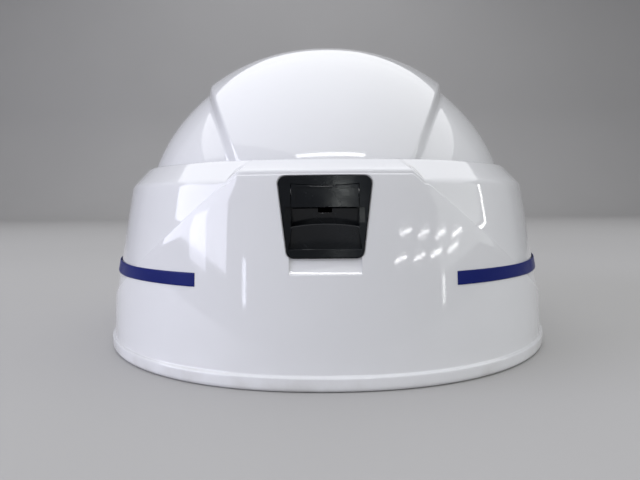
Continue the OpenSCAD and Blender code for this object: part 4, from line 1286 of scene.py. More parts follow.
@dataclass
class SideTape:
    """Blue tape that follows the base shell round one side, with softer edges and ends."""

    finishes: Finishes
    base: BaseShell
    low: float = 34.5
    high: float = 39.5
    start_x: float = 48.0
    lift: float = 0.06
    thickness: float = 0.28
    columns: int = 240
    rows: int = 17
    edge_drop: float = 0.1
    end_share: float = 0.35

    def build(self, left: bool) -> Any:
        """Builds one stripe: the wall's points between two heights, moved outwards.

        Args:
            left: whether it lies on the left side.
        Returns:
            The stripe.
        """
        t0 = float(PLAN.t_at(self.start_x, self.base.half_w))
        t = np.linspace(-t0, t0, self.columns)
        number = np.arange(self.columns)
        ends = np.minimum(1.0, np.minimum(number, number[::-1]) / 2.0)
        rise = np.linspace(self.low, self.high, self.rows)
        z = np.concatenate([rise, np.linspace(self.high, self.low, self.rows)])
        proud = np.repeat([0.0, self.thickness], self.rows)
        proud[[self.rows, 2 * self.rows - 1]] -= self.edge_drop
        inset = -(self.lift + proud[:, None] * (self.end_share + (1 - self.end_share) * ends))
        rows = capped(np.swapaxes(self.base.point(t[None], z[:, None], inset), 0, 1))
        side = "left" if left else "right"
        piece = Piece(f"tape_{side}").add(mirrored(rows) if left else rows, False, True).build(sharp=50)
        return self.finishes.fit(piece, Slot.TAPE, "base", f"side_stripe_{side}")


# Webbing


def curve_through(points: Array, steps: int = 6) -> Array:
    """Catmull-Rom curve: each span is the cubic through two points with their neighbours' slopes.

    Args:
        points: the points that it passes.
        steps: how many points each span gets.
    Returns:
        The curve's points.
    """
    ends = np.concatenate([2 * points[:1] - points[1:2], points, 2 * points[-1:] - points[-2:-1]])
    a, b, c, d = (ends[i:len(ends) - 3 + i, None] for i in range(4))
    s = np.linspace(0, 1, steps, endpoint=False)[None, :, None]
    cubic = 0.5 * (2 * b + (c - a) * s + (2 * a - 5 * b + 4 * c - d) * s**2 + (3 * b - a - 3 * c + d) * s**3)
    return np.concatenate([cubic.reshape(-1, 3), points[-1:]])


def run_along(line: Array) -> Array:
    """Distance from the start of a line to each of its points."""
    return np.concatenate([[0.0], np.cumsum(np.linalg.norm(np.diff(line, axis=0), axis=1))])


@dataclass(frozen=True)
class Ribbon:
    """Flat woven webbing with rounded edges, sewn with stitches one pitch apart."""

    width: float
    thickness: float
    thread: float = 0.2
    pitch: float = 2.6
    stitch: float = 1.9

    def section(self) -> Array:
        """Closed outline across the ribbon: two flat runs joined by half circles, as (across, up).

        Returns:
            The points, in order round the section.
        """
        r = self.thickness / 2
        flat = np.linspace(-(self.width / 2 - r), self.width / 2 - r, 15)
        turn = np.linspace(-pi / 2, pi / 2, 7)[1:-1]
        edge = np.stack([flat[-1] + r * np.cos(turn), r * np.sin(turn)], axis=1)
        low = np.stack([flat, np.full_like(flat, -r)], axis=1)
        return np.concatenate([low, edge, -low, -edge])

    def sweep(self, piece: Piece, line: Array, side: Array) -> Array:
        """Adds the ribbon along a line, with its section square to the line at each point.

        Args:
            piece: the piece that gets it.
            line, side: points of its middle line, and the direction across it at each.
        Returns:
            The directions square to its face.
        """
        up = unit(np.cross(np.gradient(line, axis=0), side))
        outline = self.section()
        rows = line[:, None] + side[:, None] * outline[None, :, :1] + up[:, None] * outline[None, :, 1:]
        self.skin(piece, rows, run_along(line), outline)
        return up

    def skin(self, piece: Piece, rows: Array, run: Array, outline: Array) -> None:
        """Adds rows of the outline's points, closed at both ends, with the weave's map.

        Args:
            piece: the piece that gets them.
            rows, run: the points, and each row's distance along the ribbon.
            outline: the section's points, for distances across it.
        """
        across = run_along(np.concatenate([outline, outline[:1]]))
        along = np.concatenate([run[:1], run, run[-1:]])
        piece.add(capped(rows), False, True, along * MM, across * MM)

    def sew(self, piece: Piece, line: Array, up: Array) -> None:
        """Adds a row of stitches: short arched threads, each half sunk in the ribbon.

        A stitch's middle line rises and falls with the sine of its share, and its ends are thinner.

        Args:
            piece: the piece that gets the threads.
            line, up: points on the ribbon's face, and the direction square to it.
        """
        run = run_along(line)
        up = np.broadcast_to(up, line.shape)
        angle = np.linspace(0, 2 * pi, 6, endpoint=False)[None, :, None]
        cosine, sine = np.cos(angle), np.sin(angle)
        share = np.linspace(0, 1, 6)
        size = self.thread * np.array([0.4, 1, 1, 1, 1, 0.4])[:, None, None]
        for start in np.arange(0.3, run[-1] - self.stitch, self.pitch):
            at = start + share * self.stitch
            centre, over = (np.stack([np.interp(at, run, field[:, k]) for k in range(3)], axis=1)
                            for field in (line, up))
            centre = centre + over * (np.sin(share * pi)[:, None] * 0.9 - 0.5) * self.thread
            way = unit(np.broadcast_to(centre[-1] - centre[0], centre.shape))
            beside = unit(np.cross(way, over))
            lift = unit(np.cross(beside, way))
            ring = cosine * beside[:, None] + sine * lift[:, None]
            piece.add(capped(centre[:, None] + ring * size), False, True)


@dataclass(frozen=True)
class Hook:
    """Where a crown strap hangs: the middle of the hook, and the direction that it faces."""

    x: float
    y: float
    facing: float

    @property
    def at(self) -> Array:
        """Point in plan."""
        return np.array([self.x, self.y, 0.0])

    @property
    def out(self) -> Array:
        """Unit direction that the hook faces."""
        angle = radians(self.facing)
        return np.array([cos(angle), sin(angle), 0.0])


@dataclass
class CrownHarness:
    """Three straps that cross over the head, their hooks and the pad under them.

    loop is the side view of a strap's turn round its hook's bar, as distance outwards and height.
    """

    finishes: Finishes
    ribbon: Ribbon = Ribbon(13.0, 1.0)
    top: float = 108.0
    step: float = 2.3
    foot_z: float = 31.5
    bar_z: float = 26.2
    tail: float = 17.0
    tail_gap: float = 0.06
    arch_power: float = 2.6
    arch_round: float = 1.9
    twist: tuple[float, float] = (30.0, 54.0)
    stitched: float = 0.38
    stitch_end: float = 1.5
    keep: float = 0.16
    hooks: tuple[Hook, ...] = (
        Hook(0.0, -98.1, -90.0), Hook(-72.15, -38.36, 196.1), Hook(72.15, -38.36, -16.1),
        Hook(72.4, 29.0, 0.0), Hook(-72.4, 29.0, 180.0), Hook(0.0, 100.3, 90.0))
    loop: tuple[tuple[float, float], ...] = (
        (-1.12, 29.6), (-1.75, 27.9), (-1.98, 26.2), (-1.4, 24.85), (0.0, 24.55),
        (1.4, 24.85), (1.98, 26.2), (1.7, 27.9), (0.5, 29.8))

    def end(self, hook: Hook, arch: Array, inward: Array) -> Array:
        """Loop round the hook's bar and the sewn tail, from the tail's end to the arch's start.

        Args:
            hook: the hook.
            arch, inward: the strap's line from this hook on, and the direction to the head along it.
        Returns:
            The end's line.
        """
        sewn = run_along(arch) < self.tail
        back = arch[sewn] + inward[sewn] * (self.ribbon.thickness + self.tail_gap)
        loop = np.array(self.loop)
        points = hook.at + hook.out * loop[:, :1] + UP * loop[:, 1:]
        return curve_through(np.concatenate([back[::-3], points, arch[:1]]), 4)[:-1]

    def arch(self, first: Hook, last: Hook, top: float) -> Array:
        """Line of a strap between two hooks: its height follows (1 - |k|^p)^(1/r), with k from -1 to 1.

        Args:
            first, last: the hooks at its ends.
            top: height of its upper face at the crown.
        Returns:
            The line's points.
        """
        k = -np.cos(np.linspace(0, pi, 141))
        rise = top - self.ribbon.thickness / 2 - self.foot_z
        line = mix(first.at[None], last.at[None], (k[:, None] + 1) / 2)
        arched = np.clip(1 - np.abs(k) ** self.arch_power, 0, 1) ** (1 / self.arch_round)
        line[:, 2] = self.foot_z + rise * arched
        return line

    def strap(self, name: str, first: Hook, last: Hook, top: float) -> Any:
        """Builds one strap.

        Args:
            name: the object's name.
            first, last: the hooks at its ends.
            top: height of its upper face at the crown.
        Returns:
            The strap.
        """
        arch = self.arch(first, last, top)
        side = np.cross(UP, unit(last.at - first.at))
        inward = unit(np.cross(side, np.gradient(arch, axis=0)))
        inward *= -np.sign(inward[len(arch) // 2, 2])
        finish = self.end(last, arch[::-1], inward[::-1])[::-1]
        line = np.concatenate([self.end(first, arch, inward), arch, finish])
        start, end = self.twist
        share = smooth_step((line[:, 2:] - start) / (end - start))
        near = np.arange(len(line))[:, None] < len(line) / 2
        local = np.where(near, np.cross(UP, -first.out), np.cross(UP, last.out))
        piece = Piece(name)
        self.ribbon.sweep(piece, line, unit(mix(local, side[None], share)))
        self.sew_tail(piece, arch, side, inward)
        self.sew_tail(piece, arch[::-1], side, inward[::-1])
        return piece.build(sharp=60, weld=FINE_WELD)

    def sew_tail(self, piece: Piece, arch: Array, side: Array, inward: Array) -> None:
        """Sews a strap's tail down with a rectangle of stitches on its outer face.

        Args:
            piece: the piece that gets the stitches.
            arch, inward: the strap's line from this end on, and the direction to the head along it.
            side: the direction across the strap.
        """
        run = run_along(arch)
        chosen = (run > self.stitch_end) & (run < self.tail - self.stitch_end)
        over = -inward[chosen]
        outer = arch[chosen] + over * self.ribbon.thickness / 2
        reach = self.stitched * self.ribbon.width
        for edge in (-reach, reach):
            self.ribbon.sew(piece, outer + side * edge, over)
        for i in (0, -1):
            self.ribbon.sew(piece, outer[i] + side * np.linspace(-reach, reach, 9)[:, None], over[i])

    def hook(self, spot: Hook) -> Any:
        """Hook plate with a slot for its strap, in its own place.

        Args:
            spot: where the strap hangs.
        Returns:
            The plate.
        """
        half_w, half_t, low, high = 8.2, 1.3, 19.8, 27.0
        slot_half, slot_low, slot_high, through = 6.9, 23.4, 25.4, 3.0
        turn = np.array(Matrix.Rotation(radians(spot.facing - 90), 3, "Z"))

        def place(points: Array) -> Array:
            """Turns local points, with depth facing out, into the helmet's frame."""
            return points @ turn.T + spot.at

        slot = block((-slot_half, -through, slot_low), (slot_half, through, slot_high), place)
        return carved(block((-half_w, -half_t, low), (half_w, half_t, high), place), [slot])

    def pad(self) -> Any:
        """Round pad under the crossing, puffed by simulation, with a stitched ring and spokes.

        Returns:
            The pad.
        """
        low, high = (np.array(corner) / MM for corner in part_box("crown_pad"))
        middle, radius, half = (low + high) / 2, (high[0] - low[0]) / 2, (high[2] - low[2]) / 2
        angle = np.linspace(0, 2 * pi, 72, endpoint=False)
        spoke = np.stack([np.cos(angle), np.sin(angle), 0 * angle], axis=1)
        radii = np.array([0.01, 7, 14, radius - 3.2, radius - 1.8, radius - 1.2])[:, None, None]
        rise = np.array([1, 1, 1, 0.95, 0.7, 0.0])[:, None, None] * (half - 0.9)
        upper, lower = (middle + spoke[None] * radii + way * rise * UP for way in (1, -1))
        piece = Piece("crown_cushion").add(np.concatenate([upper, lower[-2::-1]]), False, True).build()
        Cushion(1.6, 1.1, low, high).puff(piece)
        ring, spacing = 11.0, pi / 3

        def seams(points: Array) -> Array:
            """Distance in plan to the nearest seam."""
            flat = points[:, :2] - middle[:2]
            reach = np.hypot(flat[:, 0], flat[:, 1])
            turn = (np.arctan2(flat[:, 1], flat[:, 0]) / spacing) % 1.0
            beside = np.minimum(turn, 1 - turn) * spacing * reach
            return np.minimum(np.abs(reach - ring), np.where(reach > ring, beside, FAR))

        def core(points: Array) -> Array:
            """Points of the pad's middle level, straight above or below."""
            return np.concatenate([points[:, :2], np.full((len(points), 1), middle[2])], axis=1)

        sunk(piece, seams, core)
        return piece

    def build(self) -> list[Any]:
        """Builds and dresses the straps and the pad, gives each its own mesh, and builds the hooks.

        Returns:
            The pieces.
        """
        plan = [("crown_strap_long", 0, 5), ("crown_strap_left", 1, 3), ("crown_strap_right", 2, 4)]
        pieces = []
        for level, (node, first, last) in enumerate(plan):
            top = self.top - level * self.step
            strap = self.strap("web_" + node, self.hooks[first], self.hooks[last], top)
            pieces.append(self.finishes.fit(strap, Slot.WEBBING, "base", node))
        pad = self.finishes.fit(self.pad(), Slot.PAD, "base", "crown_pad")
        pieces.append(pad)
        for piece in pieces:
            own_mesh(piece)
        plates = rounded_edges(joined("strap_hook_plates", [self.hook(spot) for spot in self.hooks]), 0.5)
        return [*pieces, self.finishes.fit(plates, Slot.BLACK, "base", "strap_hooks")]


# Padding


def sunk(piece: Any, seams: PointMap, middle: PointMap, depth: float = 0.72, width: float = 1.3) -> None:
    """Sinks sewn seams into a pad: a point moves to the pad's middle by depth times exp(-(d/width)^2).

    Args:
        piece: the pad.
        seams: gives each point's distance d to the nearest seam.
        middle: gives the point of the middle surface for each point.
        depth, width: the groove's depth, as a share of the way to the middle, and its width.
    """
    mesh = piece.data
    points = np.empty(len(mesh.vertices) * 3)
    mesh.vertices.foreach_get("co", points)
    points = points.reshape(-1, 3) / MM
    pull = depth * np.exp(-((seams(points) / width) ** 2))[:, None]
    mesh.vertices.foreach_set("co", (mix(points, middle(points), pull) * MM).ravel())
    mesh.update()


@dataclass(frozen=True)
class Cushion:
    """Puffs a closed pad with a cloth simulation, by at most room, and keeps it between two corners."""

    voxel: float
    room: float
    low: Array
    high: Array
    pressure: float = 4.0
    frames: int = 20

    def puff(self, piece: Any) -> None:
        """Remeshes, inflates and smooths a pad.

        Args:
            piece: a closed, slightly smaller start shape.
        """
        remesh = piece.modifiers.new("even", "REMESH")
        remesh.mode = "VOXEL"
        remesh.voxel_size = self.voxel * MM
        baked(piece)
        self.inflate(piece)
        smooth = piece.modifiers.new("smooth", "SUBSURF")
        smooth.levels = smooth.render_levels = 1
        baked(piece)
        piece.data.shade_smooth()

    def inflate(self, piece: Any) -> None:
        """Runs the cloth and caps how far each point moves.

        Args:
            piece: the remeshed pad.
        """
        start = np.array([v.co for v in piece.data.vertices])
        cloth = piece.modifiers.new("cloth", "CLOTH")
        cloth.settings.use_pressure = True
        cloth.settings.uniform_pressure_force = self.pressure
        cloth.settings.effector_weights.gravity = 0
        for number in range(1, self.frames + 1):
            bpy.context.scene.frame_set(number)
        baked(piece)
        way = np.array([v.co for v in piece.data.vertices]) - start
        moved = start + way * np.minimum(1, self.room * MM / length_of(way))
        moved = np.clip(moved, self.low * MM, self.high * MM)
        piece.data.vertices.foreach_set("co", moved.ravel())
        bpy.context.scene.frame_set(1)


@dataclass
class BandPad:
    """Padded strip with upright sewn channels, along the part of a band's outline beyond stop_y."""

    finishes: Finishes
    node: str
    name: str
    body: str
    half: tuple[float, float]
    centre_y: float
    front: bool
    stop_y: float
    inset: float
    thickness: float = 3.0
    channel: float = 21.0

    def line(self) -> tuple[Array, Array]:
        """Middle line of the band in plan and its inward directions.

        Returns:
            The points and the directions.
        """
        t = np.linspace(0, pi, 241) * (-1 if self.front else 1)
        x, y = PLAN.at(t, *self.half)
        inward = -PLAN.normals(np.stack([x, y], axis=1), *self.half)
        points = np.stack([x, y + self.centre_y], axis=1)
        kept = points[:, 1] < self.stop_y if self.front else points[:, 1] > self.stop_y
        return points[kept], inward[kept]

    def shape(self, middle: Array, inward: Array, low: Array, high: Array) -> Any:
        """Start shape: a soft rectangle, whose sides are powers of cosine and sine, along a line.

        Args:
            middle, inward: points of its middle line in plan, and the inward direction at each.
            low, high: the corners of the solid's space.
        Returns:
            The pad before it is puffed.
        """
        angle = np.linspace(0, 2 * pi, 20, endpoint=False)
        half_t, half_h = self.thickness / 2 - 0.45, (high[2] - low[2]) / 2 - 0.7
        wide = np.sign(np.cos(angle)) * np.abs(np.cos(angle)) ** 0.6 * half_t
        tall = np.sign(np.sin(angle)) * np.abs(np.sin(angle)) ** 0.35 * half_h
        rows = np.zeros((len(middle), len(angle), 3))
        rows[..., :2] = middle[:, None] + inward[:, None] * wide[None, :, None]
        rows[..., 2] = (low[2] + high[2]) / 2 + tall
        return Piece(self.name).add(capped(rows), False, True).build()

    def build(self) -> Any:
        """Builds, puffs and dresses the pad.

        Returns:
            The pad.
        """
        low, high = (np.array(corner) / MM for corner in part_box(self.node))
        points, inward = self.line()
        middle = points + inward * (self.inset + self.thickness / 2)
        piece = self.shape(middle, inward, low, high)
        Cushion(1.1, 0.55, low, high).puff(piece)
        run = run_along(middle)
        count = max(3, round(run[-1] / self.channel))
        spacing = run[-1] / count

        def nearest(found: Array) -> Array:
            """Number of the middle line's point that is nearest in plan."""
            gap = found[:, None, :2] - middle[None]
            return np.argmin(np.sum(gap**2, axis=2), axis=1)

        def seams(found: Array) -> Array:
            """Distance along the pad to the nearest channel, but none at its ends."""
            place = run[nearest(found)] / spacing
            inside = (place > 0.5) & (place < count - 0.5)
            return np.where(inside, np.abs(place - np.round(place)) * spacing, FAR)

        def core(found: Array) -> Array:
            """Point of the middle surface at the same height."""
            return np.concatenate([middle[nearest(found)], found[:, 2:]], axis=1)

        sunk(piece, seams, core)
        self.finishes.fit(piece, Slot.PAD, self.body, self.node)
        return piece


# Chin strap


@dataclass
class ChinStrap:
    """Stowed chin strap: four ear straps that meet in pairs at meet_x, and the folded webbing."""

    finishes: Finishes
    ribbon: Ribbon = Ribbon(15.0, 1.2)
    anchor: tuple[float, float] = (77.5, 36.0)
    meet_x: float = 55.4
    past: float = 3.0
    rivet_end: float = 6.0
    sink: tuple[float, float] = (12.0, 32.0)
    join_z: tuple[float, float] = (1.02, 2.36)
    seam_x: tuple[float, float] = (56.2, 63.2)
    seam_y: float = 1.5
    row_half: float = 6.2
    web_z: float = 1.7
    fold_r: float = 1.6
    buckle_z: float = 4.6

    def ear(self, piece: Piece, side: float, front: float, join_z: float) -> None:
        """Adds one ear strap, cut along the line where it meets its neighbour.

        Each point across the strap runs a little past the joint, so its end is slanted.

        Args:
            piece: the piece that gets it.
            side, front: 1 on the right and at the front, -1 on the left and at the rear.
            join_z: its height at the joint.
        """
        start = np.array([self.anchor[0], -self.anchor[1]])
        way = unit(np.array([self.meet_x, 0.0]) - start)
        across = np.array([-way[1], way[0]])
        outline = self.ribbon.section()
        end = (self.past - start[1] - across[1] * outline[:, 0]) / way[1]
        reach = mix(-self.rivet_end, end[None], np.linspace(0, 1, 44)[:, None])
        plan = start + way * reach[..., None] + across * outline[None, :, :1]
        level = smooth_step((reach - self.sink[0]) / (self.sink[1] - self.sink[0]))
        height = mix(self.web_z, join_z, level) + outline[None, :, 1]
        rows = np.concatenate([plan, height[..., None]], axis=2) * np.array([side, front, 1.0])
        self.ribbon.skin(piece, rows, reach.mean(axis=1) + self.rivet_end, outline)

    def ears(self, side: float) -> Any:
        """Both ear straps of one side, sewn together where they meet.

        Args:
            side: 1 on the right and -1 on the left.
        Returns:
            The straps as one piece.
        """
        name = "right" if side > 0 else "left"
        piece = Piece(f"web_ears_{name}")
        for front, height in zip((1.0, -1.0), self.join_z):
            self.ear(piece, side, front, height)
        half = self.ribbon.thickness / 2
        low, high = self.join_z[0] - half, self.join_z[1] + half
        seam = np.stack([np.linspace(*self.seam_x, 12) * side, np.zeros(12), np.zeros(12)], axis=1)
        for y in (-self.seam_y, self.seam_y):
            for face, up in ((high, UP), (low, -UP)):
                self.ribbon.sew(piece, seam + np.array([0.0, y, face]), up)
        made = piece.build(sharp=60, weld=FINE_WELD)
        return self.finishes.fit(made, Slot.WEBBING, "base", f"ear_straps_{name}")

    def web(self, node: str, side_view: Sequence[Sequence[float]], side: float, sewn: Sequence[float]) -> Any:
        """Webbing along a line of side view, with cross rows of stitches; it stands for its CAD node.

        Args:
            node: the CAD node.
            side_view: points (distance from the middle, height).
            side: 1 on the right and -1 on the left.
            sewn: distances of the rows of stitches from its end at the buckle.
        Returns:
            The webbing, dressed but not yet set on a body.
        """
        view = np.array(side_view)
        line = curve_through(np.stack([view[:, 0] * side, np.zeros(len(view)), view[:, 1]], axis=1), 5)
        across = np.array([0.0, 1.0, 0.0])
        piece = Piece(node.replace("chin_strap", "web_chin"))
        up = self.ribbon.sweep(piece, line, np.broadcast_to(across, line.shape))
        run = run_along(line)
        for distance in sewn:
            i = int(np.argmin(np.abs(run[-1] - distance - run)))
            over = up[i] * np.sign(up[i][2])
            row = line[i] + np.linspace(-self.row_half, self.row_half, 12)[:, None] * across
            self.ribbon.sew(piece, row + over * self.ribbon.thickness / 2, over)
        made = piece.build(sharp=60, weld=FINE_WELD)
        self.finishes.dress(made, Slot.WEBBING)
        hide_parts(node)
        return made

    def turn(self, x: float, z: float, side: float) -> Array:
        """Half circle of a fold, as side view points."""
        angle = np.linspace(0, pi, 9)
        along = x - side * self.fold_r * np.sin(angle)
        return np.stack([along, z + self.fold_r * (1 - np.cos(angle))], axis=1)

    def build(self) -> list[Any]:
        """Builds all webbing of the chin strap.

        Returns:
            The pieces.
        """
        z, layer, end = self.web_z, 2 * self.fold_r, self.buckle_z
        second, third = z + layer, z + 2 * layer
        left = [(44.6, z), (40.0, z), (34.0, z), *self.turn(29.2, z, 1.0),
                (36.0, second), *self.turn(48.4, second, -1.0),
                (42.0, third), (35.6, third), (31.6, z + 5.9), (27.6, z + 4.9), (24.6, z + 3.9),
                (21.6, z + 3.1), (17.0, end), (12.3, end)]
        right = [(44.6, z), (40.0, z), (36.6, z + 0.1), (35.2, z + 1.4), (34.4, z + 2.5), (33.3, z + 2.9)]
        folded = self.web("chin_strap_left", left, -1.0, (2.0, 5.0))
        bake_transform(folded)
        short = self.web("chin_strap_right", right, 1.0, (4.0, 6.0))
        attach(short, "base")
        return [self.ears(-1.0), self.ears(1.0), folded, short]


# Latches and shell fittings


@dataclass
class Latch:
    """One latch in its local frame: (side, depth, height) on the leaning end face.

    half_w, low_z and pin are the lever's half width, lower edge and hinge line (depth, height), and
    lip_z and bar_z the heights of the finger gap's lip and of the bar at the bottom.
    """

    finishes: Finishes
    rear: bool
    radius: float = 122.0
    proud: float = 0.4
    depth: float = 5.2
    half_w: float = 11.75
    gap: float = 0.25
    low_z: float = 63.1
    lip_z: float = 57.6
    lip_drop: float = 1.0
    bar_z: float = 48.7
    pin: tuple[float, float] = (2.6, 69.0)
    soft_edge: float = 0.5
    nose: float = 3.2
    nose_end: float = 5.0
    outside: float = -3.0
    ear: tuple[float, float] = (10.0, 24.4)
    ear_z: tuple[float, float] = (52.0, 60.0)
    overlap: float = 0.2

    def box(self, low: Sequence[float], high: Sequence[float]) -> Any:
        """Block between two corners in the latch's frame."""
        return block(low, high, self.place)

    def place(self, points: Array) -> Array:
        """Into the helmet's frame."""
        return LatchPlace(self.rear).to_object(points)

    def curved(self, near: float | None, far: float | None, proud: float) -> Any:
        """Slab whose near or far face, where None is given, follows the latch's curved face.

        The face's depth is radius - sqrt(radius^2 - side^2), less what it stands proud.

        Args:
            near, far: depths of its flat faces, or None.
            proud: how far the curved face stands proud of the shell.
        Returns:
            The slab.
        """
        x = np.linspace(-20, 20, 81)
        face = self.radius - proud - np.sqrt(self.radius**2 - x**2)
        front = face if near is None else np.full_like(x, near)
        back = face if far is None else np.full_like(x, far)
        rings = np.stack([np.stack([x, d, np.full_like(x, h)], axis=1)
                          for d, h in ((front, 40.0), (back, 40.0), (back, 80.0), (front, 80.0))], axis=1)
        return solid_of("slab", self.place(rings))

    def swept(self, half: Array, points: PointMap) -> Any:
        """Cutter drawn in side view and swept across, on the parabola side^2 / (2 radius).

        Args:
            half: half width at each point of the side view.
            points: gives (depth, height) points for each place across, from -1 to 1.
        Returns:
            The cutter.
        """
        share = np.linspace(-1, 1, 33)
        view = points(share)
        side = share[:, None] * half[None]
        rings = np.stack([side, view[..., 0] + side**2 / (2 * self.radius), view[..., 1]], axis=-1)
        return solid_of("sweep", self.place(rings))

    def lip(self, share: Array) -> Array:
        """Height of the arched lip across the finger gap."""
        return self.lip_z - self.lip_drop * share**2

    def ramp(self) -> Any:
        """Cutter of the hollow below the lip, which deepens to the bar with 1 - q^1.7.

        Returns:
            The cutter.
        """
        q = np.linspace(0, 1, 9)
        wide, narrow, start, fall, front, above = 12.9, 11.4, 0.2, 1.35, -4.0, 60.0
        half = np.concatenate([mix(wide, narrow, q), [narrow] * 2, [wide] * 4])

        def view(share: Array) -> Array:
            """Side view at each place across."""
            height = mix(self.bar_z, self.lip(share)[:, None], q[None])
            depth = np.broadcast_to(start + fall * (1 - q**1.7), height.shape)
            low = self.bar_z - self.soft_edge
            ahead = np.array([[start, above], [front, above], [front, low], [-0.45, low],
                              [-0.12, self.bar_z - 0.12], [start, self.bar_z]])
            ahead = np.broadcast_to(ahead, (len(share), *ahead.shape))
            return np.concatenate([np.stack([depth, height], axis=-1), ahead], axis=1)

        return self.swept(half, view)

    def finger_gap(self) -> Any:
        """Cutter of the finger gap: an arched floor with a rounded lip, and a back that leans forward.

        Returns:
            The cutter.
        """
        def view(share: Array) -> Array:
            """Side view at each place across."""
            lip = self.lip(share)
            top = np.full_like(lip, self.low_z)
            rows = [(-4.0, lip - 0.8), (0.2, lip - 0.8), (0.45, lip - 0.3), (0.85, lip - 0.07), (1.3, lip),
                    (4.4, lip), (2.2, top), (-4.0, top)]
            return np.stack([np.stack([np.full_like(h, d), h], axis=-1) for d, h in rows], axis=1)

        return self.swept(np.full(8, self.half_w + self.gap), view)

    def housing(self) -> Any:
        """The fixed housing: the trapezoid with its curved face, hollowed, and its screw ears.

        Returns:
            The housing.
        """
        edge, front = self.half_w + self.gap, self.outside
        body = carved(prism(latch_outline(0.0), front, self.depth, self.place),
                      [self.curved(None, 9.0, self.proud)], "INTERSECT")
        carved(body, [self.box((-edge, front, self.low_z - self.gap), (edge, 3.7, self.pin[1])),
                      rod((0.0, *self.pin), 0, (-edge, edge), self.nose + self.gap, self.place, 64),
                      self.finger_gap(), self.ramp(),
                      self.box((-13.9, front, 57.7), (13.9, 0.9, self.low_z)),
                      self.box((-2.5, 1.8, 61.3), (2.5, 6.0, 66.4))])
        back, lap = self.depth, self.overlap
        ear_near, ear_far, web_far = back + 0.4, back + 1.8, back + 0.6
        (near, far), (low, high) = self.ear, self.ear_z
        spans = [((near, far), (ear_near, ear_far), (low, high)),
                 ((near + lap / 2, near + 4.0), (back - lap, web_far), (low + lap, high - lap))]
        plates = [self.box((min(sign * a, sign * b), y0, z0), (max(sign * a, sign * b), y1, z1))
                  for (a, b), (y0, y1), (z0, z1) in spans for sign in (-1, 1)]
        plates.append(self.box((-7.0, back - lap, 46.2), (7.0, web_far, 50.2)))
        return rounded_edges(carved(body, plates, "UNION"), 0.26)

    def lever(self) -> Any:
        """The finger lever: plate with a sunken panel, hinge barrel and hooked foot.

        Returns:
            The lever.
        """
        w, low, front, (pin_y, pin_z) = self.half_w, self.low_z, self.outside, self.pin
        face = self.proud - 0.05
        rim, sunk_by, foot, foot_low = 1.3, 0.22, 2.0, 63.4
        plate = carved(rod((0.0, pin_y, pin_z), 0, (-w, w), self.nose, self.place, 64),
                       [self.box((-w, front, low), (w, 1.9, pin_z))], "UNION")
        carved(plate, [self.curved(None, self.nose_end, face)], "INTERSECT")
        panel = carved(self.box((-w + rim, front, low + 1.2), (w - rim, 1.0, pin_z + 0.9)),
                       [self.curved(-5.0, None, face - sunk_by)], "INTERSECT")
        carved(plate, [panel])
        carved(plate, [self.box((-foot, 1.5, foot_low), (foot, 8.1, 65.0)),
                       self.box((-foot, 7.1, foot_low), (foot, 8.1, 67.8))], "UNION")
        return rounded_edges(plate, 0.2)

    def build(self) -> list[Any]:
        """Builds and dresses housing, lever and spring.

        Returns:
            The pieces.
        """
        side, y = ("rear", 0.125) if self.rear else ("front", -0.125)
        housing, lever = self.housing(), self.lever()
        spring = softened(f"{side}_catch_spring", 0.2, 2)
        housing.name, lever.name = f"{side}_housing", f"{side}_lever_plate"
        self.finishes.fit(housing, Slot.LATCH, "base", f"{side}_latch_housing")
        self.finishes.fit(lever, Slot.LATCH, f"{side}_lever", f"{side}_latch_lever")
        self.finishes.dress(spring, Slot.SPRING)
        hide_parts(f"{side}_catch_spring")
        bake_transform(spring)
        return [housing, lever, spring]


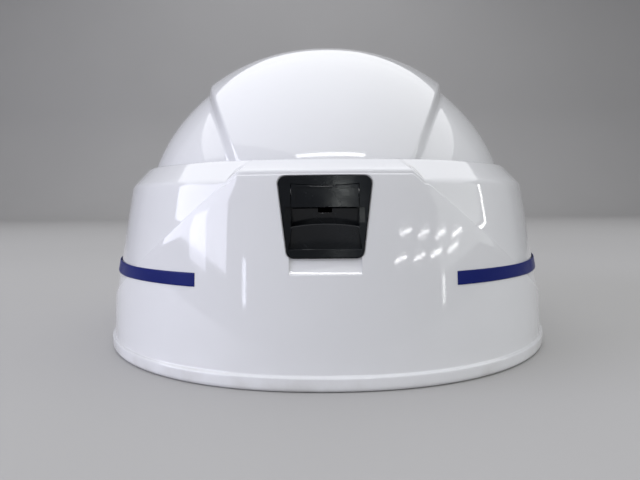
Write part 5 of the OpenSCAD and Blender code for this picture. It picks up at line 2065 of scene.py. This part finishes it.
@dataclass
class ShellFittings:
    """Ribs, screw bosses and latch bosses inside the base shell; ribs reach into its wall by bite."""

    finishes: Finishes
    base: BaseShell
    thickness: float = 2.4
    bite: float = 1.2
    low_z: float = 5.0
    bend_z: float = 43.0
    side_rise: float = 1.6
    flange_gap: float = 0.6
    flange_half: tuple[float, float] = (92.0, 119.3)
    side_rib_y: float = 22.0
    end_rib_x: float = 34.0
    boss_in: float = 3.2
    boss_r: float = 4.2
    boss_z: tuple[float, float] = (4.7, 14.1)
    boss_foot_z: float = 2.6
    boss_at: tuple[int, ...] = (35, 90, 145, 215, 270, 325)
    latch_boss: tuple[float, float] = (20.4, 56.0)
    latch_boss_y: tuple[float, float] = (2.6, 5.5)
    latch_boss_r: float = 3.2

    def half_sizes(self, z: float, inset: float) -> tuple[float, float]:
        """Half width and half length of the inner wall's outline at a height, less an inset."""
        base = self.base
        return (base.half_w - base.side_lean * z - base.wall - inset,
                base.half_l - base.front_lean * z - base.wall - inset)

    def wall(self, place: float, z: float, end: bool) -> float:
        """Finds the inner wall beside the place of a rib.

        Args:
            place, z: the rib's distance from the middle, and the height.
            end: whether the rib stands at the front or rear.
        Returns:
            Distance of the wall.
        """
        base = self.base
        x = place if end else float(PLAN.y_at(place, base.half_l, base.half_w))
        a, b = self.half_sizes(z, base.panel_lean * max(0.0, z - float(base.crease(x))))
        return float(PLAN.y_at(place, a, b) if end else PLAN.y_at(place, b, a))

    def rib(self, place: float, end: bool, mirror: tuple[float, float]) -> Any:
        """One rib: a plate from the wall to just outside the dome's flange.

        Args:
            place, end: its distance from the middle, and whether it stands at the front or rear.
            mirror: signs that set the quarter in which it stands.
        Returns:
            The rib.
        """
        flange = self.flange_half if end else self.flange_half[::-1]
        inner = float(PLAN.y_at(place - self.thickness / 2, *flange)) + self.flange_gap
        top = self.base.side_rim - self.base.wall
        levels = [self.low_z, self.bend_z, top]
        view = [[inner, self.low_z]] + [[self.wall(place, z, end) + self.bite, z] for z in levels]
        view.append([inner, top if end else top + self.side_rise])
        rings = np.zeros((2, len(view), 3))
        rings[..., 1 if end else 0], rings[..., 2] = np.array(view).T
        rings[..., 0 if end else 1] = place + np.array([-0.5, 0.5])[:, None] * self.thickness
        return solid_of("rib", rings * np.array([*mirror, 1.0]))

    def build(self) -> Any:
        """Builds all fittings as one piece that goes with the shell.

        Returns:
            The piece.
        """
        ribs = ((self.side_rib_y, False), (self.end_rib_x, True))
        solids = [self.rib(place, end, (x, y)) for x in (-1, 1) for y in (-1, 1) for place, end in ribs]
        outline = self.half_sizes(self.boss_foot_z, self.boss_in)
        for degrees in self.boss_at:
            x, y = PLAN.at(np.array(radians(degrees)), *outline)
            solids.append(rod((float(x), float(y), 0.0), 2, self.boss_z, self.boss_r, upright))
        side, height = self.latch_boss
        for rear in (False, True):
            place = LatchPlace(rear).to_object
            for x in (-side, side):
                solids.append(rod((x, 0.0, height), 1, self.latch_boss_y, self.latch_boss_r, place))
        piece = rounded_edges(joined("shell_fittings", solids), 0.4)
        return self.finishes.fit(piece, Slot.WHITE, "base", "lower_shell")


@dataclass
class Hardware:
    """Rigid moulded parts that keep their CAD shape, with their edges rounded.

    A row of plan: the node, the rounding's width, its body, its slot and whether flat faces are merged.
    """

    finishes: Finishes
    plan: tuple[tuple[str, float, str, Slot, bool], ...] = (
        ("harness_frame", 0.4, "base", Slot.GREY, False), ("headband", 0.5, "base", Slot.GREY, False),
        ("nape_band", 0.5, "nape", Slot.GREY, False), ("strap_dividers", 0.5, "base", Slot.BLACK, True),
        ("buckle_socket", 0.8, "base", Slot.BLACK, True), ("buckle_tongue", 0.6, "tongue", Slot.BLACK, True))

    def build(self) -> list[Any]:
        """Rounds and dresses each part."""
        return [self.finishes.fit(softened(node, width, merge=merge), slot, body, node)
                for node, width, body, slot, merge in self.plan]


@dataclass(frozen=True)
class Lamp:
    """Rectangular soft lamp that faces a point, with lengths in metres and its power in watts."""

    name: str
    place: Sequence[float]
    aim: Sequence[float]
    size: tuple[float, float]
    power: float
    tint: Colour = (1.0, 1.0, 1.0)

    def build(self) -> None:
        """Adds the lamp to the scene."""
        data = bpy.data.lights.new(self.name, "AREA")
        data.shape = "RECTANGLE"
        data.size, data.size_y = self.size
        data.energy = self.power
        data.color = self.tint
        way = Vector(self.aim) - Vector(self.place)
        turn = way.to_track_quat("-Z", "Y").to_matrix().to_4x4()
        linked(self.name, data).matrix_world = Matrix.Translation(Vector(self.place)) @ turn


@dataclass
class Studio:
    """Pale floor and backdrop, soft lamps, and the camera at the photograph's view."""

    focal: float = 35.44
    camera_at: tuple[float, float, float] = (1.17, -348.0, 65.0)
    pitch: float = 3.5
    yaw: float = 0.78
    roll: float = -0.5
    floor_half: float = 3000.0
    floor_front: float = -2200.0
    wall_y: float = 2600.0
    wall_z: float = 2200.0
    bend: float = 500.0
    sky: tuple[float, float, float, float] = (0.80, 0.80, 0.82, 1.0)
    sky_strength: float = 0.27

    def camera(self) -> None:
        """Makes the scene's camera."""
        data = bpy.data.cameras.new("view")
        data.lens = self.focal
        data.sensor_width = 36.0
        data.clip_start = 0.01
        camera = linked("view", data)
        aim = (Matrix.Rotation(radians(self.yaw), 4, "Z") @ Matrix.Rotation(radians(90 - self.pitch), 4, "X")
               @ Matrix.Rotation(radians(self.roll), 4, "Z"))
        camera.matrix_world = Matrix.Translation(Vector(self.camera_at) * MM) @ aim
        bpy.context.scene.camera = camera

    def floor(self) -> None:
        """Pale table that curves up into a backdrop: a straight run, a quarter circle and the wall."""
        turn = np.linspace(0, pi / 2, 16)[1:]
        start = self.wall_y - self.bend
        table = np.linspace(self.floor_front, start, 30)
        y = np.concatenate([table, start + self.bend * np.sin(turn), [self.wall_y]])
        z = np.concatenate([0 * table, self.bend * (1 - np.cos(turn)), [self.wall_z]])
        x = np.linspace(-self.floor_half, self.floor_half, 25)
        points = np.stack(np.broadcast_arrays(x[None], y[:, None], z[:, None]), axis=-1)
        mesh = bpy.data.meshes.new("floor")
        mesh.from_pydata(points.reshape(-1, 3) * MM, [], Grid(points).faces()[0][:, ::-1])
        mesh.shade_smooth()
        floor = linked("floor", mesh)
        g = Graph("pale_floor")
        tone = g.noise(g.object_place(), 3, 3)
        g.dress(Base_Color=g.blend(tone, (0.40, 0.395, 0.39), (0.43, 0.425, 0.42)), Roughness=0.6)
        mesh.materials.append(g.material)

    def lamps(self) -> list[Lamp]:
        """All lamps: the ceiling, the walls and windows that the shell mirrors, and far lamps on an arc.

        Returns:
            The lamps.
        """
        cool, green = (0.83, 0.84, 1.0), (0.95, 1.0, 0.97)
        spot = np.array([0.043, -0.122, 0.05])
        far = []
        for row, (height, drop) in enumerate(((0.33, 0.040), (0.24, 0.024))):
            for step in range(4):
                angle = radians(-52 + 10.5 * step - 3 * row)
                place = spot + np.array([2 * cos(angle), 2 * sin(angle), height - drop * step])
                far.append(Lamp(f"far_lamp_{row}_{step}", place, spot, (0.24, 0.006), 0.13))
        return [
            Lamp("ceiling", (0.1, 0.1, 1.6), (0, 0, 0.05), (4.4, 3.8), 52.0, (0.97, 0.98, 1.0)),
            Lamp("front_row", (0.1, -1.45, 1.35), (0, 0, 0.07), (1.2, 0.10), 3.2),
            Lamp("left_wall", (-2.0, -0.7, 0.75), (0, 0, 0.06), (1.9, 1.1), 25.0, cool),
            Lamp("left_window", (-1.75, -0.82, 0.28), (-0.048, -0.119, 0.058), (0.36, 0.26), 0.9, cool),
            Lamp("right_wall", (2.0, -0.5, 0.6), (0, 0, 0.06), (1.6, 0.9), 3.6, green),
            Lamp("right_strip", (1.77, 0.29, 0.48), (0.06, -0.1, 0.066), (0.04, 0.26), 0.28),
            *far,
            Lamp("left_gap", (-1.29, -1.67, 0.20), (-0.028, -0.129, 0.036), (0.07, 0.16), 0.22, cool),
            Lamp("right_gap", (1.78, -1.12, 0.10), (0.043, -0.124, 0.035), (0.06, 0.10), 0.12),
            Lamp("tab_light", (0.22, -1.86, 0.485), (0.005, -0.129, 0.067), (0.22, 0.075), 0.55, green)]

    def build(self) -> None:
        """Sets up camera, floor, lamps and world."""
        self.camera()
        self.floor()
        for lamp in self.lamps():
            lamp.build()
        world = bpy.data.worlds.new("studio")
        world.use_nodes = True
        background = world.node_tree.nodes["Background"]
        background.inputs["Color"].default_value = self.sky
        background.inputs["Strength"].default_value = self.sky_strength
        bpy.context.scene.world = world
        bpy.context.scene.view_settings.view_transform = "Standard"


def main() -> None:
    """Builds the helmet's parts in order and reports each piece."""
    logging.basicConfig(level=logging.INFO, format="%(message)s")
    Studio().build()
    finishes = Finishes()
    base = BaseShell(finishes)
    tape = SideTape(finishes, base)
    sweatband = BandPad(finishes, "sweatband", "sweatband_pad", "base", half=(72.8, 93.8), centre_y=0.0,
                        front=True, stop_y=-12.0, inset=0.0)
    nape_pad = BandPad(finishes, "nape_pad", "nape_cushion", "nape", half=(68.1, 44.0), centre_y=50.0,
                       front=False, stop_y=72.0, inset=1.1)
    steps: list[tuple[str, Callable[[], Any]]] = [
        ("base shell", base.build), ("dome", Dome(finishes).build), ("left tape", lambda: tape.build(True)),
        ("right tape", lambda: tape.build(False)), ("shell fittings", ShellFittings(finishes, base).build),
        ("front latch", Latch(finishes, False).build), ("rear latch", Latch(finishes, True).build),
        ("hardware", Hardware(finishes).build), ("crown harness", CrownHarness(finishes).build),
        ("sweatband", sweatband.build), ("nape pad", nape_pad.build),
        ("chin strap", ChinStrap(finishes).build)]
    for label, step in steps:
        made = step()
        for piece in made if isinstance(made, list) else [made]:
            log.info("%s: %s, %d faces", label, piece.name, len(piece.data.polygons))


if __name__ == "__main__":
    main()
